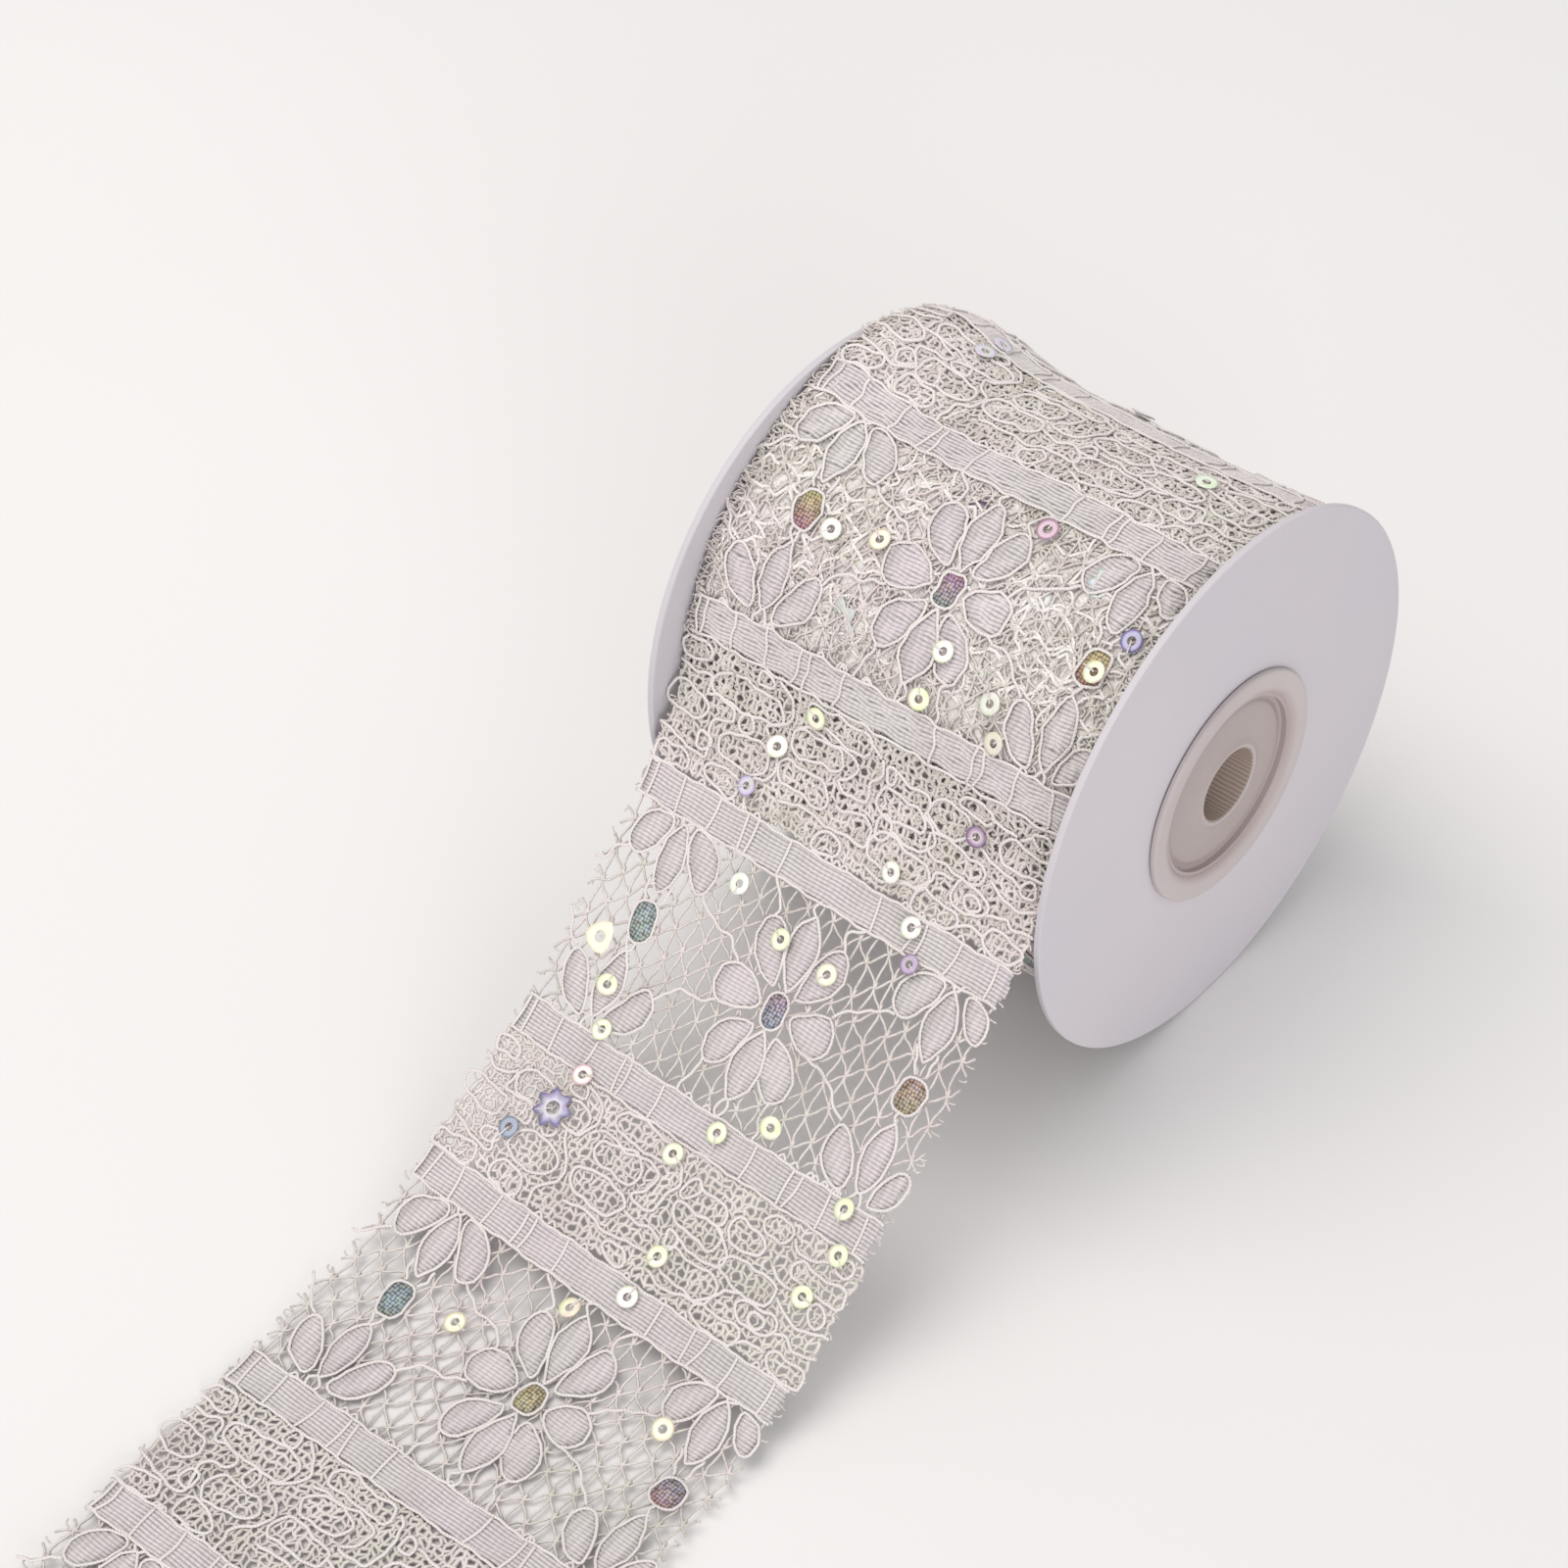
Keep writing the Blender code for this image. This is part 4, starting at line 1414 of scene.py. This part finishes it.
@dataclass
class SequinRow:
    """The sequins of a length of lace, made from one spun disc each and joined."""

    course: LaceCourse
    sequins: tuple[Sequin, ...]
    height: float = 0.5
    steps: int = 16

    def disc(self, sequin: Sequin) -> bmesh.types.BMesh:
        """A thin cupped ring, wavy-rimmed where it has lobes.

        Args:
            sequin: its size and lobes.

        Returns:
            The ring about the origin, in millimetres.
        """
        outer, hole, thick = sequin.size / 2, sequin.size * 0.195, 0.11
        profile = [(hole, 0.02), (hole, 0.02 + thick), (hole + 0.12, thick + 0.05),
                   (outer * 0.72, thick - 0.02), (outer, thick + 0.08),
                   (outer, 0.08), (outer * 0.72, -0.02)]
        bm = spun([(r, 0.0, z) for r, z in profile], (0, 0, 1), sequin.lobes * 4 or self.steps, 0.001)
        if not sequin.lobes:
            return bm
        depth = 0.22 if sequin.lobes > 4 else 0.13
        for vert in bm.verts:
            reach = math.hypot(vert.co.x, vert.co.y)
            if reach > hole * 1.5:
                turn = math.atan2(vert.co.y, vert.co.x)
                grow = 1.0 + depth * math.cos(sequin.lobes * turn) * (reach / outer)
                vert.co.x *= grow
                vert.co.y *= grow
        return bm

    def stitches(self, name: str, material: bpy.types.Material, seed: int) -> bpy.types.Object:
        """The thread that holds each sequin, from its hole out over its rim.

        Args:
            name: the piece's name.
            material: its finish.
            seed: for the way each stitch points.

        Returns:
            The joined piece.
        """
        dice = np.random.default_rng(seed + 7)
        mesh = ThreadMesh()
        for sequin in self.sequins:
            turn = dice.uniform(0.0, 2 * math.pi)
            way = np.array([math.cos(turn), math.sin(turn)])
            reach = np.array([0.0, 0.3, 0.7, 1.0]) * (sequin.size / 2 + 0.4)
            line = np.array([sequin.u, sequin.v]) + reach[:, None] * way
            mesh.add(Thread(line, self.height + 0.17, 0.24, 0.16, 4))
        return mesh.build(name, self.course, material)

    def build(self, name: str, material: bpy.types.Material, seed: int) -> bpy.types.Object:
        """Sew every sequin on.

        Args:
            name: the piece's name.
            material: its finish.
            seed: for the small tilts.

        Returns:
            The joined piece.
        """
        dice = np.random.default_rng(seed)
        joined = bmesh.new()
        tint = joined.verts.layers.float_color.new("tint")
        for sequin in self.sequins:
            disc = self.disc(sequin)
            tilt_u, tilt_v = dice.normal(0.0, 0.09, 2)
            turn = dice.uniform(0.0, 2 * math.pi)
            local = np.array([vert.co for vert in disc.verts])
            x = local[:, 0] * math.cos(turn) - local[:, 1] * math.sin(turn)
            y = local[:, 0] * math.sin(turn) + local[:, 1] * math.cos(turn)
            # the disc is stiff: it stays flat on the plane that touches the lace under its middle
            spot = np.array([sequin.u, sequin.v, self.height])
            around = self.course.lay(spot + np.vstack([np.zeros(3), 0.5 * np.eye(3)]))
            middle, right, far, up = around[0], *(around[k] - around[0] for k in (1, 2, 3))
            up = np.cross(right, far) if np.dot(np.cross(right, far), up) > 0 else -np.cross(right, far)
            right, up = right / np.linalg.norm(right), up / np.linalg.norm(up)
            far = np.cross(up, right)
            high = local[:, 2] + tilt_u * x + tilt_v * y
            placed = middle + MM * (x[:, None] * right + y[:, None] * far + high[:, None] * up)
            verts = [joined.verts.new(point) for point in placed]
            for vert, corner in zip(verts, local):
                vert[tint] = sequin.tint_at(math.hypot(corner[0], corner[1]))
            for face in disc.faces:
                joined.faces.new([verts[v.index] for v in face.verts])
            disc.free()
        bmesh.ops.recalc_face_normals(joined, faces=joined.faces)
        return finished_piece(joined, name, material)


# Solids of the spool


@dataclass(frozen=True)
class Turned:
    """A ring about the spool's axis, spun from its section."""

    place: SpoolPlace
    steps: int = 160
    map_lap: float = 32.0

    def spin(self, name: str, section: Sequence[tuple[float, float]], material: bpy.types.Material,
             lace_map: bool = False) -> bpy.types.Object:
        """Spin a closed section round the axis.

        Args:
            name: the piece's name.
            section: x and radius of each corner in millimetres, in order.
            material: its finish.
            lace_map: whether the piece gets a map of millimetres along the axis and round it.

        Returns:
            The piece.
        """
        bm = spun([(x * MM, r * MM, 0.0) for x, r in section], (1, 0, 0), self.steps, 1e-7)
        if lace_map:
            layer = bm.loops.layers.uv.new("lace")
            for loop, turn in corner_turns(bm):
                loop[layer].uv = (loop.vert.co.x / MM, turn / 360.0 * self.map_lap)
        bmesh.ops.transform(bm, matrix=Matrix.Translation(self.place.spot), verts=bm.verts)
        for vert in bm.verts:
            vert.co.z = max(vert.co.z, 0.0)
        piece = finished_piece(bm, name, material)
        piece.data.set_sharp_from_angle(angle=math.radians(38))
        return piece


@dataclass
class CardSpool:
    """Two card flanges, their caps and the board core between them."""

    place: SpoolPlace
    palette: Palette
    flange_radius: float = 37.6
    inner_x: float = 31.0
    outer_x: float = 32.0
    hole: float = 12.6
    dish: float = 12.3

    def flange_section(self, side: int) -> list[tuple[float, float]]:
        """Card disc whose cut rim is rounded over a quarter of a millimetre."""
        edge, top = 0.25, self.flange_radius
        corner = [(math.cos(a), math.sin(a)) for a in np.linspace(0, math.pi / 2, 5)]
        points = [(self.inner_x, self.hole)]
        points += [(self.inner_x + edge * (1 - c), top - edge * (1 - s)) for c, s in corner]
        points += [(self.outer_x - edge * (1 - c), top - edge * (1 - s)) for c, s in reversed(corner)]
        points += [(self.outer_x, self.hole)]
        return [(side * x, r) for x, r in points]

    def cap_section(self, side: int) -> list[tuple[float, float]]:
        """Collar with a soft rim, shoulder rolling into the dish, a groove, the floor and the bore's lip."""
        collar = [(32.2, 16.15), (32.62, 16.14), (32.86, 15.95), (32.94, 15.5), (32.92, 14.6), (32.84, 13.7)]
        groove = [(32.62, 13.1), (32.2, 12.72), (31.72, 12.5), (31.38, 12.2), (31.28, 11.85), (31.4, 11.5)]
        floor = [(31.64, 11.15), (31.76, 10.4), (31.78, 8.9), (31.8, 7.4), (31.88, 6.7)]
        lip = [(32.08, 6.15), (32.26, 5.8), (32.3, 5.5), (32.22, 5.3)]
        line = curve_through(collar + groove + floor + lip, 3)
        back = [(30.92, 5.3), (30.92, 12.0), (31.0, self.dish), (32.2, self.dish)]
        return [(side * x, r) for x, r in [*map(tuple, line), *back]]

    def core_section(self) -> list[tuple[float, float]]:
        """Plain tube between the caps."""
        sleeve = [(30.6, 13.5), (30.6, 5.28), (32.12, 5.28), (32.12, 5.1)]
        return [(-x, r) for x, r in reversed(sleeve)] + sleeve

    def build(self) -> list[bpy.types.Object]:
        """Make the spool's pieces and take the place of their nodes.

        Returns:
            The pieces.
        """
        turned = Turned(self.place)
        pieces = []
        for side, word in ((-1, "left"), (1, "right")):
            flange = turned.spin(f"card_flange_{word}", self.flange_section(side), self.palette.card)
            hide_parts(f"flange_{word}")
            cap = turned.spin(f"formed_cap_{word}", self.cap_section(side), self.palette.cap)
            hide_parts(f"hub_cap_{word}")
            pieces += [flange, cap]
        core = turned.spin("kraft_core", self.core_section(), self.palette.kraft, lace_map=True)
        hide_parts("core_tube")
        return pieces + [core]


@dataclass
class WoundBody:
    """The inner turns as one solid ring under the outer two, its skin patterned as pressed lace.

    It is spun as a blank of plain radius, mapped, and then pressed to the roll's shape.
    """

    course: LaceCourse
    depth: float = 0.95
    half_width: float = 29.6
    columns: int = 48
    steps: int = 180
    bore: float = 14.0
    blank: float = 30.0
    map_lap: float = 212.0

    def skin(self, x: float, turn: float) -> float:
        """Radius of its outside at a place across it and an angle in degrees."""
        course, angle = self.course, np.array([turn])
        past = (angle - (course.take_off - course.overlap)) % 360.0
        eased = smooth(past / course.step_ease)
        radius = (course.outer_radius(angle) - course.step_drop * (1.0 - eased)
                  + course.surface(angle, np.array([x])))
        dents = 0.18 * math.sin(1.7 * x + 0.21 * turn) * math.sin(0.9 * x - 0.33 * turn)
        return float(radius[0]) - self.depth + dents

    def build(self, material: bpy.types.Material) -> bpy.types.Object:
        """Wrap a grid round the roll and close it through the bore.

        Args:
            material: its finish.

        Returns:
            The piece.
        """
        xs = np.linspace(-self.half_width, self.half_width, self.columns + 1)
        section = [(xs[0], self.bore), *((x, self.blank) for x in xs), (xs[-1], self.bore)]
        bm = spun([(x, r, 0.0) for x, r in section], (1, 0, 0), self.steps, 1e-4)
        layer = bm.loops.layers.uv.new("lace")
        for loop, turn in corner_turns(bm):
            reach = math.hypot(loop.vert.co.y, loop.vert.co.z)
            loop[layer].uv = (loop.vert.co.x + (self.blank - reach), turn / 360.0 * self.map_lap)
        origin = np.array(self.course.place.spot)
        for vert in bm.verts:
            x, y, z = vert.co
            turn = math.degrees(math.atan2(z, y))
            outside = math.hypot(y, z) > (self.bore + self.blank) / 2
            radius = self.skin(x, turn) if outside else self.bore
            a = math.radians(turn)
            vert.co = origin + MM * np.array([x + self.course.start_x, radius * math.cos(a),
                                              radius * math.sin(a)])
        piece = finished_piece(bm, "wound_body", material)
        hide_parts("lace_roll")
        return piece


# The trim as a whole


@dataclass
class SequinTrim:
    """The lace with all its lengths, sequins and film."""

    course: LaceCourse
    palette: Palette
    design: LaceDesign = field(default_factory=LaceDesign)

    def outer_sequins(self) -> tuple[Sequin, ...]:
        """Sequins of the turn that faces out and of the loose end."""
        pearl, white, cream = "F6F7DE", "FAFAF3", "F3EED6"
        rows = [
            (-15.4, 0.5, white), (-8.7, -1.2, cream), (6.2, 7.0, white), (5.8, 13.5, pearl),
            (14.9, 9.8, "E4E6DC"), (17.4, 13.8, "E6E0D2"), (-7.5, 22.6, pearl), (-11.9, 28.8, white),
            (25.2, 0.7, pearl), (9.7, 35.3, white), (15.3, 39.9, white), (-9.1, 46.4, "F4FBF0"),
            (-0.3, 49.6, pearl), (7.7, 50.3, pearl), (-19.3, 66.1, pearl), (-16.7, 71.2, pearl),
            (4.8, 73.9, pearl), (10.9, 69.8, pearl), (24.9, 73.2, pearl), (1.0, 79.0, pearl),
            (27.2, 78.2, pearl), (6.6, 90.4, pearl), (25.8, 84.6, pearl), (6.2, 96.5, white),
            (0.6, 101.5, cream), (-10.4, 111.1, cream), (20.2, 107.3, cream),
        ]
        rims = {pearl: "E6E9CB", white: "E9E9DA", cream: "E6DEBF"}
        return (
            *(Sequin(u, v, tint, 2.85, 0, rims.get(tint)) for u, v, tint in rows),
            Sequin(-14.1, 35.3, "D6D2E2", 2.6, 0, "B3A9CF"),
            Sequin(9.3, -12.0, "D0B4C4", 2.9, 0, "A98198", "C4A9B8"),
            Sequin(27.2, -4.5, "B3AED2", 2.8, 0, "6C659C"),
            Sequin(18.9, 25.8, "B7A0BA", 2.7, 0, "75557D", "D6CAD2"),
            Sequin(17.2, 43.9, "C2B0C8", 2.6, 0, "957BA0"), Sequin(-15.7, 77.2, "F1E2E2", 2.8, 0, "E0C2C6"),
            Sequin(-20.6, 87.8, "AAB4C4", 2.8, 0, "7C89A2"), Sequin(-23.7, 61.5, "FDFBE0", 4.3, 3),
            Sequin(-16.8, 82.7, "968FB2", 4.6, 7, "8078A0", "D0CBDC"),
        )

    def hidden_sequins(self) -> tuple[Sequin, ...]:
        """Sequins of the roll's back and underside, scattered as on the front."""
        dice = np.random.default_rng(77)
        tints = ("FBFADC", "FCFCF6", "FBFADC", "FCFCF6", "F6F1D9", "FCFCF6", "D9D4E2", "E7EFE2")
        low = self.course.leave_v - self.course.lap_v + 8.0
        places = [(dice.uniform(-26, 26), v + dice.uniform(-3, 3)) for v in np.arange(low, -26.0, 5.2)]
        return tuple(Sequin(u, v, tints[int(dice.integers(len(tints)))]) for u, v in places)

    def inner_sequins(self) -> tuple[Sequin, ...]:
        """Sequins of the turn below, seen through the outer net, their pale tints painted dimmer as shade."""
        lap = self.course.lap_v
        # painted shade: the pale tints here are dimmed copies of the outer turn's pearls and whites
        spots = [
            (-9.3, 9.8, "CAD2CE", 4.8, 6), (12.9, 7.2, "DCDDD6", 2.8, 0), (-6.3, 12.6, "DADFD6", 2.8, 0),
            (-11.6, 2.2, "DCDAD4", 2.8, 0), (13.6, -4.2, "D8DCD8", 2.8, 0), (20.0, -9.6, "C6CDD3", 4.4, 7),
            (-9.0, -11.0, "DFDED6", 2.8, 0), (9.5, 40.0, "D8D6CC", 2.8, 0), (-0.4, -10.2, "5F4C62", 3.2, 0),
        ]
        dice = np.random.default_rng(78)
        more = [(dice.uniform(-26, 26), v, "D3D2C6", 2.8, 0) for v in np.arange(-170.0, -16.0, 9.0)]
        return tuple(Sequin(u, v - lap, tint, size, lobes) for u, v, tint, size, lobes in spots + more)

    def film(self, low: float, high: float, name: str) -> Optional[bpy.types.Object]:
        """Tinted film under the ringed ovals of a length.

        Args:
            low: where the length starts.
            high: where it ends.
            name: the piece's name.

        Returns:
            The joined piece, or None where no oval lies on the length.
        """
        tints = {
            (0, 0): ("C995B5", "B4C6C2"), (0, 1): ("CFCB92", "D29DB4"), (0, 2): ("D8CCA0", "CC9C96"),
            (1, 0): ("C4ABC0", "B3C0CC"), (1, 1): ("B5C2C8", "BAC8C3"), (1, 2): ("CBB0AA", "CCC2A8"),
            (2, 0): ("C8BFA2", "CCC4A4"), (2, 1): ("B0BEC8", "A9B8B6"), (2, 2): ("B4B3C4", "C6A3A4"),
        }
        others = (("C4ABC0", "B3C0CC"), ("C6BC98", "C19AA6"), ("B5C2C8", "BAC8C3"))
        length = LaceLength(self.design, self.course, low, high)
        joined = bmesh.new()
        tint_layer = joined.verts.layers.float_color.new("tint")
        uv_layer = joined.loops.layers.uv.new("lace")
        for number in length.numbers():
            for index, eye in enumerate(self.design.eyes):
                middle = length.to_course(np.array([eye.middle]), number)[0]
                if not low + 3.0 < middle[1] < high - 3.0:
                    continue
                top, bottom = tints.get((number, index), others[(number + index) % 3])
                patch = bmesh.new()
                bmesh.ops.create_circle(patch, cap_ends=True, cap_tris=False, segments=20, radius=1.0)
                bmesh.ops.inset_region(patch, faces=patch.faces, thickness=0.35, depth=0.03)
                bmesh.ops.inset_region(patch, faces=[f for f in patch.faces if len(f.verts) > 4],
                                       thickness=0.33, depth=0.01)
                flat = np.array([vert.co for vert in patch.verts])
                corner = 1.0 + 0.14 * np.sin(2 * np.arctan2(flat[:, 1], flat[:, 0])) ** 2
                flat[:, 0] *= corner * (eye.across / 2 - 0.2)
                flat[:, 1] *= corner * (eye.along / 2 - 0.2)
                lean = math.radians(eye.tilt)
                c, s = math.cos(lean), math.sin(lean)
                flat[:, :2] = flat[:, :2] @ np.array([[c, s], [-s, c]])
                laid = self.course.lay(flat + np.array([middle[0], middle[1], -0.02]))
                verts = [joined.verts.new(point) for point in laid]
                start, stop = np.array(linear(top)), np.array(linear(bottom))
                for vert, point in zip(verts, flat):
                    share = float(np.clip(0.5 + point[1] / eye.along, 0, 1))
                    vert[tint_layer] = start * (1 - share) + stop * share
                for face in patch.faces:
                    made = joined.faces.new([verts[v.index] for v in face.verts])
                    for loop, vert in zip(made.loops, face.verts):
                        loop[uv_layer].uv = flat[vert.index][:2] + np.array([10.0 * index, 10.0 * number])
                patch.free()
        if not joined.faces:
            joined.free()
            return None
        thick = finished_piece(joined, name, self.palette.film)
        thick.modifiers.new("film", "SOLIDIFY").thickness = 0.00006
        return thick

    def build(self) -> list[bpy.types.Object]:
        """Make the loose end, the outer turn and the turn below it.

        Returns:
            The pieces.
        """
        course, palette = self.course, self.palette
        tail = LaceLength(self.design, course, course.leave_v, course.end_v, fray=0.4)
        turn_start, turn_end = course.leave_v - course.lap_v, course.leave_v
        outer = LaceLength(self.design, course, turn_start, turn_end, fray=1.6, crimp=0.15)
        inner = LaceLength(self.design, course, course.leave_v - 2 * course.lap_v, turn_start,
                           phase=0.45 * self.design.length - course.lap_v, fray=2.0, crimp=0.55)
        pieces = []
        sequins = self.outer_sequins()
        # the turn below is drawn in the lighter copies of the yarns, painted light that lifts the shade
        # between the layers
        for word, length, net, rib, cord in (("tail", tail, palette.net, palette.rib, palette.cord),
                                             ("turn", outer, palette.net, palette.rib, palette.cord),
                                             ("inner", inner, palette.under_net, palette.under_net,
                                              palette.under_cord)):
            pieces += [length.net(f"lace_net_{word}", net), length.ribs(f"lace_ribs_{word}", rib),
                       length.cords(f"lace_cords_{word}", cord)]
        # the curls run a little way on to the loose end
        loose = LaceLength(self.design, course, turn_start, turn_end + 14.0, fray=1.6, crimp=0.15)
        pieces.append(loose.curls("net_curls_turn", palette.slack))
        for word, chosen, height in (
                ("tail", tuple(s for s in sequins if s.v > course.leave_v), 0.5),
                ("turn", tuple(s for s in sequins if s.v <= course.leave_v) + self.hidden_sequins(), 0.5),
                ("inner", self.inner_sequins(), -0.05)):
            row = SequinRow(course, chosen, height)
            pieces += [row.build(f"sequins_{word}", palette.sequin, len(chosen)),
                       row.stitches(f"sequin_stitches_{word}", palette.cord, len(chosen))]
        for word, length in (("tail", tail), ("turn", outer)):
            piece = self.film(length.low, length.high, f"film_{word}")
            if piece is not None:
                pieces.append(piece)
        by_name = {piece.name: piece for piece in pieces}
        net = by_name["lace_net_tail"]
        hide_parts("lace_tail")
        pieces.append(WoundBody(course).build(palette.wound))
        return pieces


# Studio


@dataclass
class Studio:
    """Pale floor, soft lights and the camera at the photograph's angle."""

    place: SpoolPlace
    palette: Palette
    camera_place: tuple[float, float, float] = (180.7, -230.4, 268.85)
    right: tuple[float, float, float] = (0.75167, 0.65853, -0.03639)
    down: tuple[float, float, float] = (0.44942, -0.5518, -0.70252)
    ahead: tuple[float, float, float] = (-0.48272, 0.51171, -0.71073)
    focal_share: float = 3117.0 / 1600.0
    shift: tuple[float, float] = (-0.0282, 0.0261)

    def add_camera(self) -> None:
        """Set the camera where the photograph was taken from."""
        data = bpy.data.cameras.new("photo_camera")
        data.sensor_width = 36.0
        data.sensor_fit = "HORIZONTAL"
        data.lens = self.focal_share * 36.0
        data.shift_x, data.shift_y = self.shift
        data.clip_start, data.clip_end = 0.01, 20.0
        camera = bpy.data.objects.new("photo_camera", data)
        turn = Matrix((self.right, [-c for c in self.down], [-c for c in self.ahead])).transposed().to_4x4()
        spot = Vector(self.camera_place) * MM + Vector(self.place.spot)
        camera.matrix_world = Matrix.Translation(spot) @ turn
        bpy.context.scene.collection.objects.link(camera)
        bpy.context.scene.camera = camera

    def add_floor(self) -> None:
        """A wide sheet of pale paper."""
        bm = bmesh.new()
        bmesh.ops.create_grid(bm, x_segments=2, y_segments=2, size=3.0)
        mesh = bpy.data.meshes.new("paper_sweep")
        bm.to_mesh(mesh)
        bm.free()
        floor = bpy.data.objects.new("paper_sweep", mesh)
        bpy.context.scene.collection.objects.link(floor)
        mesh.materials.append(self.palette.paper)
        floor.location.z = -0.0002

    def add_light(self, name: str, spot: tuple[float, float, float], size: float, power: float,
                  tint: str) -> None:
        """A soft panel that looks at the spool.

        Args:
            name: the lamp's name.
            spot: its place in metres.
            size: its side in metres.
            power: its power in watts.
            tint: its colour as a hex code.
        """
        data = bpy.data.lights.new(name, "AREA")
        data.shape = "SQUARE"
        data.size = size
        data.energy = power
        data.color = linear(tint)[:3]
        lamp = bpy.data.objects.new(name, data)
        aim = Vector((0.0, 0.0, 0.02)) - Vector(spot)
        turn = aim.to_track_quat("-Z", "Y").to_matrix().to_4x4()
        lamp.matrix_world = Matrix.Translation(Vector(spot)) @ turn
        bpy.context.scene.collection.objects.link(lamp)

    def build(self) -> None:
        """Set up everything that isn't the object."""
        self.add_camera()
        self.add_floor()
        world = bpy.data.worlds.new("soft_studio")
        world.use_nodes = True
        background = world.node_tree.nodes["Background"]
        background.inputs["Color"].default_value = linear("F7F7FA")
        background.inputs["Strength"].default_value = 0.66
        bpy.context.scene.world = world
        self.add_light("window", (-0.28, -0.12, 0.85), 0.7, 4.5, "FFFCF6")
        self.add_light("fill", (2.64, -1.76, 0.92), 1.76, 43.5, "F8F8FA")
        bpy.context.scene.view_settings.view_transform = "Standard"


def report(piece: bpy.types.Object) -> None:
    """Log a piece's name and size."""
    mesh = piece.data
    triangles = sum(len(face.vertices) - 2 for face in mesh.polygons)
    LOG.info("%s: %d triangles, %d points", piece.name, triangles, len(mesh.vertices))


def sheet_share(piece: bpy.types.Object) -> float:
    """Half of a piece's skin in square metres, for the log."""
    return sum(face.area for face in piece.data.polygons) / 2


def main() -> None:
    """Build the studio, the spool and the trim, and report each piece."""
    logging.basicConfig(level=logging.INFO, format="%(name)s %(message)s")
    place = SpoolPlace.read()
    palette = Palette(place)
    Studio(place, palette).build()
    pieces = CardSpool(place, palette).build()
    trim = SequinTrim(LaceCourse(place), palette)
    pieces += trim.build()
    for piece in pieces:
        report(piece)
        if piece.name == "lace_net_tail":
            LOG.info("half skin %.6f m2, box %.6f m2", sheet_share(piece),
                     0.06 * (trim.course.end_v - trim.course.leave_v) * MM)


if __name__ == "__main__":
    main()
